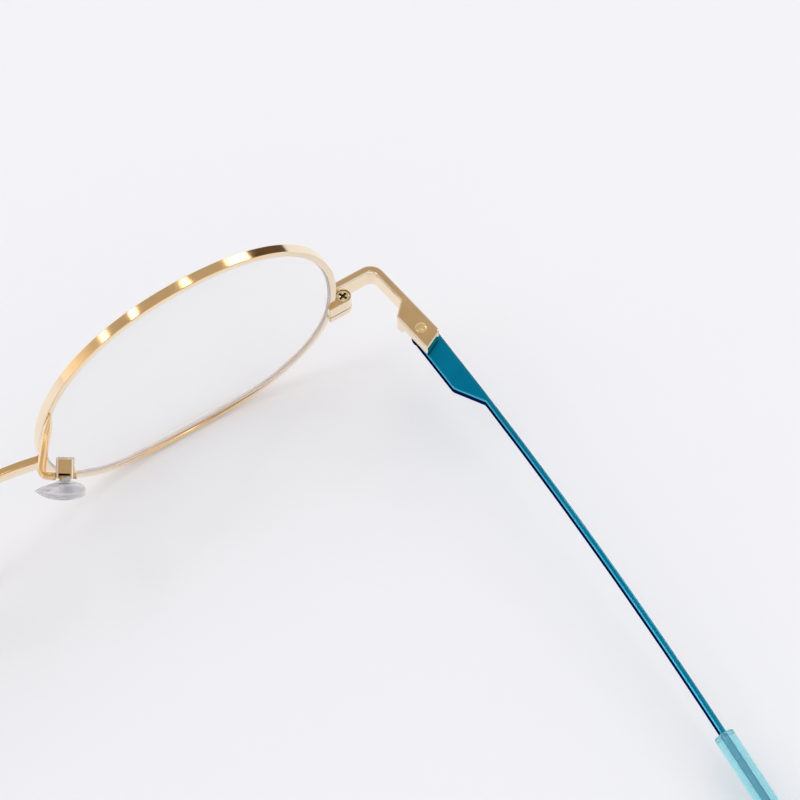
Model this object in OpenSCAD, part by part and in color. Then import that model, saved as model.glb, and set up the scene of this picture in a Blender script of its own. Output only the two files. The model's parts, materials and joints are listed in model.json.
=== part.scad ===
// Round wire spectacles with flat lap hinges and adjustable nose pads.
// They lie upside down, on the brow edge of both rims and on both ear bends.
// The wearer sits at -Y and looks along +Y, so +X is the wearer's left.

/* [Rim] */
// Distance from the lens centre to the rim's lowest edge, as worn
chin_y = 23.87; // [22.5:0.01:25]
// Radius of the rim's outer edge at its lowest stretch, as worn
chin_r = 27.9; // [25:0.1:31]
// Half angle of the lowest arc
chin_deg = 12.6; // [8:0.2:16]
// Radius of the two cheek arcs
cheek_r = 21.5; // [20.5:0.05:22.5]
// Angle of each cheek arc
cheek_deg = 51.2; // [48:0.2:55]
// Radius of the two side arcs
side_r = 32.1; // [29:0.1:35]
// Angle of each side arc
side_deg = 33.2; // [30:0.2:36]
// Radius of the two corners at the brow
corner_r = 17.55; // [16:0.05:19]
// Angle of each corner arc
corner_deg = 72; // [68:0.5:75]
// Wall of the rim, seen from the front
rim_w = 0.95; // [0.85:0.05:1.3]
// Depth of the rim, front to back
rim_d = 1.5; // [1.3:0.05:2.0]
// Bevel along the rim's two outer edges
rim_bevel = 0.15; // [0.05:0.05:0.3]
// Depth of the lens groove
groove_d = 0.45; // [0.3:0.05:0.6]
// Width of the lens groove at its mouth
groove_w = 0.9; // [0.6:0.05:1.1]

/* [Lenses] */
// Thickness of the clear lens
lens_t = 1.4; // [1.1:0.1:2.2]
// Reach of the flange into the groove
flange_w = 0.2; // [0.12:0.01:0.25]
// Radius of the lens's front surface
lens_r = 120; // [90:5:180]
// Gap between the lens and the rim's inner edge
lens_gap = 0.03; // [0.02:0.01:0.08]

/* [Front] */
// Distance between the lenses, across the nose
nose_gap = 21; // [18:0.5:24]
// Lean of the lens plane against the hinge plane, in degrees
lean_deg = 8; // [4:0.5:12]
// Height of the hinge plane above the lens centre, as worn
hinge_rise = 5.4; // [4:0.1:7]

/* [Bridge] */
// Depth of the bridge bar, front to back
bridge_d = 1.9; // [1.4:0.05:2.2]
// Height of the bridge bar
bridge_h = 1.2; // [0.8:0.05:1.4]
// Height of the bar's middle above the lens centre, as worn, at the rims
bridge_rise = 5.9; // [4:0.1:7]
// How far the bar bows forwards at the nose
bridge_bow = 0.9; // [0.5:0.1:2]
// How far the bar arches upwards at the nose, as worn
bridge_arch = 0.8; // [0.4:0.1:2]

/* [Rim lock] */
// Distance of the lock screw outside the rim
lock_off = 2.0; // [1.8:0.05:2.5]
// Distance of the lock screw behind the rim's front face
lock_back = 0.85; // [0.7:0.05:1.0]
// Radius of the lock's barrel
lock_r = 1.2; // [1.15:0.05:1.5]
// Depth of the split below the top of the lock
split_depth = 2.05; // [1.8:0.05:2.3]
// Width of the split
split_w = 0.16; // [0.1:0.02:0.3]
// Gap between the end piece and the loose half of the lock
lock_gap = 0.2; // [0.1:0.05:0.3]
// Diameter of the lock screw
lock_screw_d = 1.2; // [1.0:0.1:1.4]
// Depth of the screw's head below the top of the lock
lock_sink = 0.1; // [0.05:0.05:0.25]
// Diameter of the lock screw's head
lock_head_d = 1.95; // [1.7:0.05:2.0]
// Depth of the recess for the screw's head
lock_head_h = 0.55; // [0.4:0.05:0.8]

/* [End piece] */
// Thickness of the end piece strip
strip_t = 1.12; // [0.9:0.02:1.4]
// Overhang of the strip in front of the rim's front face
strip_fore = 1.77; // [1.6:0.01:2.2]
// Reach of the strip from the rim to its outer bend
strip_reach = 9.15; // [8.5:0.05:11]
// Radius of the outer bend
bend_r = 2.25; // [1.6:0.05:3]
// Lap of the strip over the lock's barrel, inwards of the screw
strip_lap = 0.65; // [0.5:0.05:0.9]

/* [Hinge] */
// Distance of the hinge pin behind the rim's front face
hinge_back = 11.62; // [11:0.02:14]
// Turn of the leaf outwards from straight back
leaf_deg = 5.5; // [3:0.5:8]
// Distance from the pin to the neck, where the strip starts to widen
neck_fore = 5.47; // [5:0.01:6]
// Width of the leaf on its inner side of the pin
leaf_in = 1.52; // [1.3:0.02:1.8]
// Width of the leaf on its outer side of the pin
leaf_out = 1.81; // [1.6:0.01:2.1]
// Thickness of the leaf
leaf_t = 1.65; // [1.4:0.05:2.0]
// Distance from the pin to the stop shoulder
stop_fore = 2.6; // [2.5:0.05:3]
// Length of the leaf behind the pin, on its inner side
leaf_tail = 3.36; // [3:0.02:4]
// Slant of the leaf's end, in millimetres over its width
leaf_slant = 1.3; // [0.8:0.1:1.8]
// Length of full thickness in front of the stop shoulder
shoulder_len = 1.05; // [0.8:0.05:1.6]
// Diameter of the hinge pin
pin_d = 1.4; // [1.2:0.05:1.6]
// Diameter of the pin's head
pin_head_d = 1.7; // [1.6:0.05:2.0]
// Height of the pin's head
pin_head_h = 0.15; // [0.1:0.05:0.3]
// Diameter of the riveted foot
foot_d = 2.1; // [1.9:0.05:2.3]
// Height of the riveted foot
foot_h = 0.2; // [0.15:0.05:0.3]
// Thickness of the sliding washer between leaf and temple
washer_t = 0.2; // [0.15:0.05:0.35]
// Diameter of the sliding washer
washer_d = 2.6; // [2.4:0.05:2.9]
// Running clearance round the pin and beside the washers
run_gap = 0.02; // [0.01:0.01:0.05]

/* [Temple] */
// Thickness of the temple plate and bar
temple_t = 1.15; // [0.9:0.05:1.4]
// Distance from the pin to the temple's outer edge
temple_out = 2.28; // [2.1:0.01:2.5]
// Distance from the pin to the inner end of the plate's front edge
plate_front = 0.3; // [0.1:0.05:0.6]
// Distance from the pin to the plate's inner edge
plate_in = 1.2; // [1.1:0.01:1.5]
// Radius of the plate's nose round the pin
nose_r = 1.65; // [1.5:0.05:1.8]
// Length of the plate's straight inner edge behind the pin
plate_len = 10; // [9:0.1:12]
// Length over which the plate narrows to the bar
taper_len = 4.35; // [3.5:0.05:5.5]
// Width of the temple bar
bar_w = 0.84; // [0.78:0.02:1.1]
// Distance behind the pin where the temple starts to bow inwards
bow_start = 7.2; // [6:0.1:12]
// Radius of the inward bow
bow_r = 770; // [600:10:1200]
// Length of the whole temple, along its middle from the pin to the tip's end
temple_len = 145; // [135:1:155]

/* [Temple tip] */
// Distance from the pin to the mouth of the tip sleeve
sleeve_start = 73.4; // [65:0.1:85]
// Distance from the pin to the ear bend
ear_start = 105; // [98:1:112]
// Radius of the ear bend
ear_r = 32; // [26:1:40]
// Angle of the ear bend
ear_deg = 38; // [25:1:45]
// Outer diameter of the sleeve
sleeve_d = 2.8; // [2.4:0.1:3.4]
// Diameter of the wire core in the sleeve
core_d = 1.0; // [0.8:0.05:1.2]
// Depth of plain sleeve past the end of the core
sleeve_tail = 6; // [4:0.5:10]
// Clearance of the core in the sleeve
core_gap = 0.02; // [0.01:0.01:0.05]

/* [Nose pads] */
// Place of the pad screw against the lens centre: inwards to the nose
box_in = 23; // [22.4:0.05:23.4]
// Place of the pad screw against the lens centre: down the face
box_down = 1.1; // [0.5:0.05:2]
// Place of the pad screw behind the rim's front face
box_back = 7.25; // [6.8:0.05:7.7]
// Splay of the pad about the face's upright
pad_splay = 32.6; // [28:0.2:37]
// Tilt of the pad about its own width
pad_tilt = 25; // [20:0.5:30]
// Width of the pad box
box_w = 2.4; // [2.2:0.05:2.6]
// Length of the pad box
box_l = 2.8; // [2.5:0.05:3.2]
// Depth of the pad box, with its cheeks
box_h = 2.9; // [2.6:0.05:3.1]
// Distance from the pad screw to the ends of the box's cheeks
box_fore = 0.5; // [0.45:0.01:0.55]
// Distance from the pad screw back to the edge of the box's short walls
box_lip = 0.2; // [0.1:0.05:0.5]
// Wall of the pad box
box_wall = 0.42; // [0.35:0.01:0.5]
// Diameter of the pad screw
pad_screw_d = 0.6; // [0.5:0.05:0.65]
// Height of the pad screw's head
pad_head_h = 0.4; // [0.3:0.05:0.5]
// Width of the slot in the pad screw's head
slot_w = 0.22; // [0.15:0.01:0.3]
// Diameter of the pad screw's head
pad_head_d = 1.1; // [1:0.05:1.2]
// Diameter of the pad arm wire
arm_d = 1.2; // [1:0.05:1.3]
// Radius of the pad arm's bend, along its middle
arm_bend = 1; // [0.8:0.05:1.2]
// Direction of the arm's root from the middle of the rim's side arc
arm_deg = 166; // [162:0.5:170]
// Reach of the arm past the pad screw, towards the nose
arm_reach = 3.3; // [3:0.05:3.6]
// Shift of the arm along the box, beside the pad screw
arm_side = 0.8; // [0.7:0.02:0.8]
// Shift of the arm towards the pad
arm_low = 0.15; // [0:0.05:0.2]
// Width of the pad
pad_w = 6.8; // [6:0.1:8]
// Length of the pad
pad_l = 13; // [11:0.5:15]
// Thickness of the pad at its middle
pad_t = 2.3; // [2:0.05:2.4]
// Radius of the pad's crowned back
pad_crown_r = 8; // [7:0.1:10]
// Radius of the pad's crowned face
pad_face_r = 9; // [8:0.1:12]
// Shift of the pad along its width, towards the nose
pad_shift = 0.6; // [0.3:0.05:0.9]
// Shift of the pad's thickest line, away from the nose
pad_lean = 0.8; // [0.4:0.05:1]
// Distance from the pad screw to the middle of the pad's thickness
pad_drop = 2.15; // [2.1:0.05:2.5]
// Clearance between the pad's stud and each cheek of the box
boss_gap = 0.03; // [0.02:0.01:0.06]
// Length of the stud
boss_l = 1.5; // [1.3:0.05:1.6]
// Thickness of the core's plate inside the pad
pad_core_t = 0.4; // [0.3:0.05:0.6]
// Distance of the core's plate from the middle of the pad's thickness
core_off = 0.15; // [0:0.05:0.3]
// Width of the core's plate
core_w = 3.2; // [2.6:0.1:4]
// Length of the core's plate
core_l = 5.6; // [4:0.1:7]
// Diameter of the collar on the stud
collar_d = 2.3; // [2.2:0.02:2.4]
// Distance from the pad screw to the collar
collar_z = 0.82; // [0.8:0.01:0.95]

/* [Hidden] */

$fn = 64;
gold = [0.80, 0.62, 0.36];
pale_gold = [0.90, 0.76, 0.52];
teal = [0.02, 0.42, 0.52];
aqua = [0.60, 0.87, 0.92];
silicone = [0.76, 0.74, 0.79];
clear = [0.90, 0.95, 0.98];
steel = [0.75, 0.76, 0.78];
nylon = [0.95, 0.95, 0.92];

// Outline of the rim: centre, radius, first angle and sweep of each tangent arc,
// in the lens plane with x across the face and y down it as worn
function turned(a) = [sin(a), cos(a)];
side_from = chin_deg + cheek_deg;
corner_from = side_from + side_deg;
brow_from = corner_from + corner_deg;
chin_c = [0, chin_y - chin_r];
cheek_c = chin_c + (chin_r - cheek_r) * turned(chin_deg);
side_c = cheek_c + (cheek_r - side_r) * turned(side_from);
corner_c = side_c + (side_r - corner_r) * turned(corner_from);
brow_r = corner_r + corner_c[0] / sin(brow_from);
brow_c = corner_c + (corner_r - brow_r) * turned(brow_from);
function flip(c) = [-c[0], c[1]];
ARCS = [
    [chin_c, chin_r, 90 - chin_deg, 2 * chin_deg],
    [flip(cheek_c), cheek_r, 90 + chin_deg, cheek_deg],
    [flip(side_c), side_r, 90 + side_from, side_deg],
    [flip(corner_c), corner_r, 90 + corner_from, corner_deg],
    [brow_c, brow_r, 90 + brow_from, 360 - 2 * brow_from],
    [corner_c, corner_r, 90 - brow_from, corner_deg],
    [side_c, side_r, 90 - corner_from, side_deg],
    [cheek_c, cheek_r, 90 - side_from, cheek_deg]
];
brow_y = brow_c[1] - brow_r;
lens_half_w = side_c[0] + side_r - rim_w + groove_d;
lens_x = nose_gap / 2 + lens_half_w;

// Places in the hinge plane, with x across the face and y forwards
full_h = leaf_t + washer_t + 2 * run_gap + temple_t;
lock_y = -hinge_rise - split_depth;
rim_edge = corner_c[0] + sqrt(corner_r * corner_r - (lock_y - corner_c[1]) * (lock_y - corner_c[1]));
lock_x = lens_x + rim_edge + lock_off;
bend_x = lens_x + rim_edge + strip_reach;
plate_top = -leaf_t - washer_t - 2 * run_gap;
hinge_out = bend_x - bend_r * (1 - cos(leaf_deg));
hinge_x = hinge_out + (hinge_back + strip_fore - bend_r) * tan(leaf_deg) - leaf_out / cos(leaf_deg);

// Course of the temple: sideways shift and direction at a distance behind the pin
function bow(y) = y < bow_start ? 0 : sqrt(bow_r * bow_r - (y - bow_start) * (y - bow_start)) - bow_r;
sleeve_deg = asin((sleeve_start - bow_start) / bow_r);
bar_mid = temple_out - bar_w / 2;
bar_z = plate_top - temple_t / 2;
ear_run = ear_r * ear_deg * PI / 180;
tip_run = temple_len - ear_start - ear_run;

// Lie of the spectacles: the slope that lets the brow edges and the ear bends touch the floor
rim_low = [-(brow_y + hinge_rise) * sin(lean_deg) - (rim_d - rim_bevel) * cos(lean_deg),
           (brow_y + hinge_rise) * cos(lean_deg) - (rim_d - rim_bevel) * sin(lean_deg)];
ear_y = -hinge_back - sleeve_start - (ear_start - sleeve_start) * cos(sleeve_deg);
lie_a = rim_low[0] - ear_y;
lie_b = rim_low[1] - bar_z - ear_r;
lie_c = -ear_r - sleeve_d / 2;
slope_deg = asin(lie_c / norm([lie_a, lie_b])) - atan2(lie_b, lie_a);
lift = -rim_low[0] * sin(slope_deg) - rim_low[1] * cos(slope_deg);

// Middle of the object's length, which goes over the origin
fore_y = rim_low[0] + (rim_d - rim_bevel) * cos(lean_deg);
fore_z = rim_low[1] + (rim_d - rim_bevel) * sin(lean_deg);
tip_y = ear_y - (ear_r * sin(ear_deg) + tip_run * cos(ear_deg)) * cos(sleeve_deg);
tip_z = bar_z + ear_r * (1 - cos(ear_deg)) + tip_run * sin(ear_deg);
mid_y = ((fore_y + tip_y) * cos(slope_deg) - (fore_z + tip_z) * sin(slope_deg)) / 2;

// Size of a cutter that runs past everything, and its overrun past a face
far = 30;
past = 1;

// Points along an arc
function arc(c, r, a0, sweep, n) = [for (i = [0:n])
    let (a = a0 + sweep * i / n) c + r * [cos(a), sin(a)]];

// Outline parallel to the rim's outer edge, moved in by a distance
function outline(inset) = [for (a = ARCS) each arc(a[0], a[1] - inset, a[2], a[3], ceil(a[3] / 5))];

// A corner of a plate as an arc: its neighbours, itself and its radius
function unit(v) = v / norm(v);
function wrap(a) = a > 180 ? a - 360 : a < -180 ? a + 360 : a;
function rounding(a, p, b, r) =
    let (u = unit(a - p), v = unit(b - p), half = acos(u * v) / 2,
         c = p + unit(u + v) * r / sin(half),
         s = p + u * r / tan(half) - c, e = p + v * r / tan(half) - c,
         from = atan2(s[1], s[0]))
    arc(c, r, from, wrap(atan2(e[1], e[0]) - from), 8);
function rounded(ps) = [for (i = [0:len(ps) - 1])
    let (a = ps[(i + len(ps) - 1) % len(ps)], p = ps[i], b = ps[(i + 1) % len(ps)])
    each (p[2] == 0 ? [[p[0], p[1]]] : rounding([a[0], a[1]], [p[0], p[1]], [b[0], b[1]], p[2]))];

// Wire from a to b that turns at k with a bend radius. Its bend is thinner by a hair,
// so that the straight runs close over the bend's ends.
lap = 0.2;
hair = 0.01;
module framed(o, y, z) {
    x = cross(y, z);
    multmatrix([[x[0], y[0], z[0], o[0]], [x[1], y[1], z[1], o[1]], [x[2], y[2], z[2], o[2]]]) children();
}
module bent_wire(a, k, b, bend, r) {
    u = unit(k - a);
    v = unit(b - k);
    z = unit(cross(u, v));
    turn = acos(u * v);
    cut = bend * tan(turn / 2);
    framed(k - cut * u - bend * cross(u, z), u, z)
        rotate_extrude(angle = turn, $fn = 180) translate([bend, 0]) circle(r = r - hair);
    framed(a, z, u) cylinder(r = r, h = norm(k - a) - cut + lap);
    framed(k + (cut - lap) * v, z, v) cylinder(r = r, h = norm(b - k) - cut + lap);
}

// Frames that the pieces are built in
module lying() {
    translate([0, -mid_y, lift]) rotate([slope_deg, 0, 0]) children();
}
module lens_plane() {
    rotate([lean_deg, 0, 0]) translate([lens_x, 0, hinge_rise]) rotate([90, 0, 0]) children();
}
module at_hinge() {
    translate([hinge_x, -hinge_back, 0]) children();
}
module at_pad_screw() {
    lens_plane() translate([-box_in, box_down, box_back]) rotate([pad_tilt, -pad_splay, 0]) children();
}
module on_right() {
    mirror([1, 0, 0]) children();
}
// Disc that follows one arc of the rim's outer edge, for what is brazed onto it
module rim_edge_cut(a, back) {
    translate([a[0][0], a[0][1], back - far]) cylinder(r = a[1], h = far, $fn = 180);
}

// Bridge: its ends run past the rims' edges and are cut to them
bridge_seat = 1.2;
bridge_half = nose_gap / 2 - rim_w + groove_d + bridge_seat;
bridge_sag = norm([bridge_bow, bridge_arch]);
bridge_turn_r = (bridge_half * bridge_half + bridge_sag * bridge_sag) / (2 * bridge_sag);
bridge_turn = asin(bridge_half / bridge_turn_r);
bridge_plane = atan2(bridge_arch, bridge_bow);
module bridge_bar() {
    translate([0, -bridge_rise, bridge_d / 2]) rotate([bridge_plane, 0, 0])
        translate([0, 0, bridge_turn_r - bridge_sag]) rotate([90, 0, 0]) rotate([0, 0, -90 - bridge_turn])
        rotate_extrude(angle = 2 * bridge_turn, $fn = 360)
        translate([bridge_turn_r, 0]) rotate(-bridge_plane) square([bridge_d, bridge_h], center = true);
}
module bridge() {
    color(gold) lying() difference() {
        translate([-lens_x, 0, 0]) lens_plane() bridge_bar();
        lens_plane() rim_edge_cut(ARCS[2], far / 2);
        on_right() lens_plane() rim_edge_cut(ARCS[2], far / 2);
    }
}

// Rim: every second arc is thinner by a hair, and the others lap over its ends
module rim_section(thin) {
    mouth = (rim_d - groove_w) / 2;
    polygon([
        [-thin, rim_bevel + thin], [-thin, rim_d - rim_bevel - thin],
        [-rim_bevel - thin, rim_d - thin], [-rim_w + thin, rim_d - thin],
        [-rim_w + thin, rim_d - mouth + thin], [-rim_w + groove_d + thin, rim_d / 2],
        [-rim_w + thin, mouth - thin], [-rim_w + thin, thin], [-rim_bevel - thin, thin]
    ]);
}
module rim() {
    color(gold) lying() difference() {
        lens_plane() for (i = [0:len(ARCS) - 1]) {
            a = ARCS[i];
            over = i % 2 == 0 ? lap / a[1] * 180 / PI : 0;
            translate(a[0]) rotate_extrude(angle = a[3] + 2 * over, start = a[2] - over, $fn = 180)
                translate([a[1], 0]) rim_section(i % 2 == 0 ? 0 : hair);
        }
        translate([lens_x + rim_edge - 2 * rim_w, -2 * rim_d, -split_depth - split_w / 2])
            cube([4 * rim_w, 3 * rim_d, split_w]);
    }
}

// Lens
module lens_slab(inset, z0, h) {
    translate([0, 0, z0]) linear_extrude(h) polygon(outline(inset));
}
flange_t = groove_w * (1 - flange_w / groove_d) - 2 * lens_gap;
lens_mid_r = lens_r - lens_t / 2;
lens_ball_z = rim_d / 2 + sqrt(lens_mid_r * lens_mid_r - lens_half_w * lens_half_w);
module lens() {
    color(clear) lying() lens_plane() union() {
        intersection() {
            lens_slab(rim_w + lens_gap, -far / 2, far);
            difference() {
                translate([0, 0, lens_ball_z]) sphere(r = lens_r, $fn = 360);
                translate([0, 0, lens_ball_z]) sphere(r = lens_r - lens_t, $fn = 360);
            }
        }
        difference() {
            lens_slab(rim_w - flange_w, (rim_d - flange_t) / 2, flange_t);
            lens_slab(rim_w + lens_t, rim_d / 2 - flange_t, 2 * flange_t);
        }
    }
}

// Rim lock: two halves either side of the split that lap over the rim's back, and their screw
module lock_plan(front) {
    translate([lock_x, -lock_back]) circle(r = lock_r);
    translate([lock_x - lock_off - rim_w, -lock_back - lock_r])
        square([lock_off + rim_w, lock_back + lock_r - front]);
}
module lock_half(z0, z1, front, a) {
    difference() {
        translate([0, 0, z0]) linear_extrude(z1 - z0) lock_plan(front);
        lens_plane() rim_edge_cut(a, rim_d);
    }
}
module lock_upper() {
    color(gold) lying() difference() {
        lock_half(-split_depth + split_w / 2, 0, strip_t - strip_fore + lock_gap, ARCS[6]);
        translate([lock_x, -lock_back, -full_h]) cylinder(d = lock_screw_d + 2 * run_gap, h = full_h + past);
        translate([lock_x, -lock_back, -lock_head_h]) cylinder(d = lock_head_d + 4 * run_gap, h = past);
    }
}
module lock_lower() {
    color(gold) lying() difference() {
        lock_half(-full_h, -split_depth - split_w / 2, strip_t - strip_fore, ARCS[5]);
        translate([lock_x, -lock_back, -full_h - past])
            cylinder(d = lock_screw_d + 2 * run_gap, h = full_h + 2 * past);
    }
}
module cross_recess(size, depth) {
    for (a = [0, 90]) {
        rotate([0, 0, a]) translate([-size / 2, -size / 8, -depth]) cube([size, size / 4, depth + past]);
    }
}
module lock_screw() {
    head_h = lock_head_h - lock_sink;
    color(pale_gold) lying() translate([lock_x, -lock_back, -lock_head_h]) difference() {
        union() {
            cylinder(d = lock_head_d, h = head_h);
            translate([0, 0, lock_head_h - full_h]) cylinder(d = lock_screw_d, h = full_h - lock_head_h);
        }
        translate([0, 0, head_h]) rotate([0, 0, 20]) cross_recess(lock_head_d * 0.6, head_h * 0.6);
    }
}

// End piece: a strip on edge from the lock round the bend, widening to the hinge leaf
// The leaf's own directions are turned: x across it from the pin, y forwards along it
tail_round = 1.0;
edge_round = 0.3;
function at_leaf(x, y) = [x * cos(leaf_deg) - y * sin(leaf_deg), x * sin(leaf_deg) + y * cos(leaf_deg)];
function leaf_corner(x, y, r) = concat([hinge_x, -hinge_back] + at_leaf(x, y), r);
function leaf_x(x, y) = hinge_x + x / cos(leaf_deg) - (y + hinge_back) * tan(leaf_deg);
module end_plan() {
    inner = strip_fore - strip_t;
    polygon(rounded([
        [lock_x - strip_lap, inner, 0],
        [lock_x - strip_lap, strip_fore, 0],
        [leaf_x(leaf_out, strip_fore), strip_fore, bend_r],
        leaf_corner(leaf_out, leaf_slant - leaf_tail, tail_round),
        leaf_corner(-leaf_in, -leaf_tail, edge_round),
        leaf_corner(-leaf_in, stop_fore + shoulder_len, edge_round),
        leaf_corner(leaf_out - strip_t, neck_fore, edge_round),
        [leaf_x(leaf_out - strip_t, inner), inner, bend_r - strip_t]
    ]));
}
module end_piece() {
    color(gold) lying() difference() {
        translate([0, 0, -full_h]) linear_extrude(full_h) end_plan();
        at_hinge() rotate([0, 0, leaf_deg]) translate([-far / 2, -far, -full_h - past])
            cube([far, far + stop_fore, full_h - leaf_t + past]);
        at_hinge() translate([0, 0, -leaf_t - past]) cylinder(d = pin_d + run_gap, h = leaf_t + 2 * past);
    }
}

// Hinge pin with its head on the leaf, the sliding washer, and the riveted foot under the temple
module hinge_pin() {
    color(pale_gold) lying() at_hinge() union() {
        cylinder(d1 = pin_head_d, d2 = pin_head_d - pin_head_h, h = pin_head_h);
        translate([0, 0, -full_h - foot_h]) cylinder(d = pin_d, h = full_h + foot_h);
    }
}
module hinge_washer() {
    color(nylon) lying() at_hinge() translate([0, 0, -leaf_t - run_gap - washer_t]) difference() {
        cylinder(d = washer_d, h = washer_t);
        translate([0, 0, -past]) cylinder(d = pin_d + 2 * run_gap, h = washer_t + 2 * past);
    }
}
module hinge_foot() {
    color(pale_gold) lying() at_hinge() translate([0, 0, -full_h - run_gap - foot_h]) difference() {
        cylinder(d = foot_d, h = foot_h);
        translate([0, 0, -past]) cylinder(d = pin_d + run_gap, h = foot_h + 2 * past);
    }
}

// Temple: a plate on the hinge that narrows to a bowed bar, then a wire core in the tip
bar_from = plate_len + taper_len;
bar_steps = 24;
taper_round = 1.4;
function bar_point(x, i) =
    let (y = bar_from + (sleeve_start - bar_from) * i / bar_steps) [x + bow(y), -y];
module temple_plan() {
    front = stop_fore - run_gap;
    inner = temple_out - bar_w;
    polygon(concat(
        [at_leaf(plate_front, front), [temple_out, (front + temple_out * sin(leaf_deg)) / cos(leaf_deg)]],
        [for (i = [0:bar_steps]) bar_point(temple_out, i)],
        [for (i = [bar_steps:-1:0]) bar_point(inner, i)],
        rounding([inner, -bar_from], [-plate_in, -plate_len], [-plate_in, 0], taper_round),
        arc([0, 0], nose_r, 205, -90, 12)
    ));
}
module temple() {
    color(teal) lying() at_hinge() union() {
        difference() {
            translate([0, 0, plate_top - temple_t]) linear_extrude(temple_t) temple_plan();
            translate([0, 0, plate_top - temple_t - past])
                cylinder(d = pin_d + 2 * run_gap, h = temple_t + 2 * past);
        }
        sleeve_line() sleeve_wire(core_d / 2, tip_run - sleeve_tail, lap);
    }
}

// Course of the tip from the mouth of the sleeve: straight run, ear bend and straight end
module sleeve_line() {
    translate([bar_mid + bow(sleeve_start), -sleeve_start, bar_z]) rotate([0, 0, -sleeve_deg]) children();
}
ear_cut = ear_r * tan(ear_deg / 2);
ear_k = [0, sleeve_start - ear_start - ear_cut, 0];
function ear_end(run) = ear_k + (ear_cut + run) * [0, -cos(ear_deg), sin(ear_deg)];
module sleeve_wire(r, run, early) {
    bent_wire([0, early, 0], ear_k, ear_end(run), ear_r, r);
}
module temple_tip() {
    end_run = tip_run - sleeve_d / 2;
    color(aqua) lying() at_hinge() sleeve_line() difference() {
        union() {
            sleeve_wire(sleeve_d / 2, end_run, 0);
            translate(ear_end(end_run)) sphere(d = sleeve_d - 2 * hair);
        }
        sleeve_wire(core_d / 2 + core_gap, tip_run - sleeve_tail + core_gap, past);
    }
}

// Nose pad: arm on the rim's back, box, screw, and the pad with its metal core
function pad_point(p) =
    let (v = p[1] * cos(pad_tilt) - p[2] * sin(pad_tilt), w = p[1] * sin(pad_tilt) + p[2] * cos(pad_tilt))
    [p[0] * cos(pad_splay) - w * sin(pad_splay) - box_in, v + box_down,
     p[0] * sin(pad_splay) + w * cos(pad_splay) + box_back];
arm_sink = 0.05;
arm_ring = ARCS[2][1] - rim_w / 2;
arm_root = concat(ARCS[2][0] + arm_ring * [cos(arm_deg), sin(arm_deg)], rim_d + arm_d / 2 - arm_sink);
arm_knee = pad_point([-arm_reach, arm_side, arm_low]);
arm_end = pad_point([0, arm_side, arm_low]);
module pad_arm() {
    color(gold) lying() difference() {
        lens_plane() union() {
            bent_wire(arm_root, arm_knee, arm_end, arm_bend, arm_d / 2);
            translate(arm_root) sphere(d = arm_d - 2 * hair);
        }
        lens_plane() translate([-far, -far / 2, rim_d - far]) cube(far);
        at_pad_screw() translate([-box_w / 2, -far / 2, -far / 2]) cube(far);
    }
}
module pad_box() {
    cavity = box_w - 2 * box_wall;
    color(gold) lying() at_pad_screw() difference() {
        translate([-box_w / 2, -box_l / 2, box_fore - box_h]) cube([box_w, box_l, box_h]);
        translate([-cavity / 2, -box_l / 2 + box_wall, box_fore - box_h + box_wall])
            cube([cavity, box_l - 2 * box_wall, box_h]);
        translate([-cavity / 2, -box_l, -box_lip]) cube([cavity, 2 * box_l, box_h]);
        translate([-box_w, 0, 0]) rotate([0, 90, 0]) cylinder(d = pad_screw_d + run_gap, h = 2 * box_w);
    }
}
module pad_screw() {
    color(pale_gold) lying() at_pad_screw() rotate([0, 90, 0]) difference() {
        union() {
            translate([0, 0, arm_sink - box_w / 2]) cylinder(d = pad_screw_d, h = box_w - arm_sink);
            translate([0, 0, box_w / 2]) cylinder(d = pad_head_d, h = pad_head_h);
        }
        translate([-pad_head_d, -slot_w / 2, box_w / 2 + pad_head_h / 2])
            cube([2 * pad_head_d, slot_w, pad_head_h]);
    }
}
boss_w = box_w - 2 * (box_wall + boss_gap);
core_z = pad_drop + core_off - pad_core_t / 2;
module core_shape(grow) {
    translate([0, 0, core_z]) linear_extrude(pad_core_t + 2 * grow, center = true)
        scale([1, core_l / core_w]) circle(d = core_w + 2 * grow);
    translate([0, 0, collar_z - grow]) cylinder(d = collar_d + 2 * grow, h = core_z - collar_z + grow);
}
module pad_core() {
    color(steel) lying() at_pad_screw() difference() {
        union() {
            core_shape(0);
            translate([-boss_w / 2, -boss_l / 2, 0]) cube([boss_w, boss_l, core_z]);
            rotate([0, 90, 0]) cylinder(d = boss_l - hair, h = boss_w - 2 * hair, center = true);
        }
        rotate([0, 90, 0]) cylinder(d = pad_screw_d + 2 * run_gap, h = 2 * boss_w, center = true);
    }
}
module nose_pad() {
    back = pad_drop - pad_t / 2;
    color(silicone) lying() at_pad_screw() difference() {
        translate([-pad_shift, 0, back]) intersection() {
            linear_extrude(pad_t) scale([1, pad_l / pad_w]) circle(d = pad_w);
            translate([pad_lean, 0, pad_crown_r]) rotate([90, 0, 0])
                cylinder(r = pad_crown_r, h = 2 * pad_l, center = true, $fn = 128);
            translate([pad_lean, 0, pad_t - pad_face_r]) rotate([90, 0, 0])
                cylinder(r = pad_face_r, h = 2 * pad_l, center = true, $fn = 128);
        }
        core_shape(core_gap);
    }
}

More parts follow.
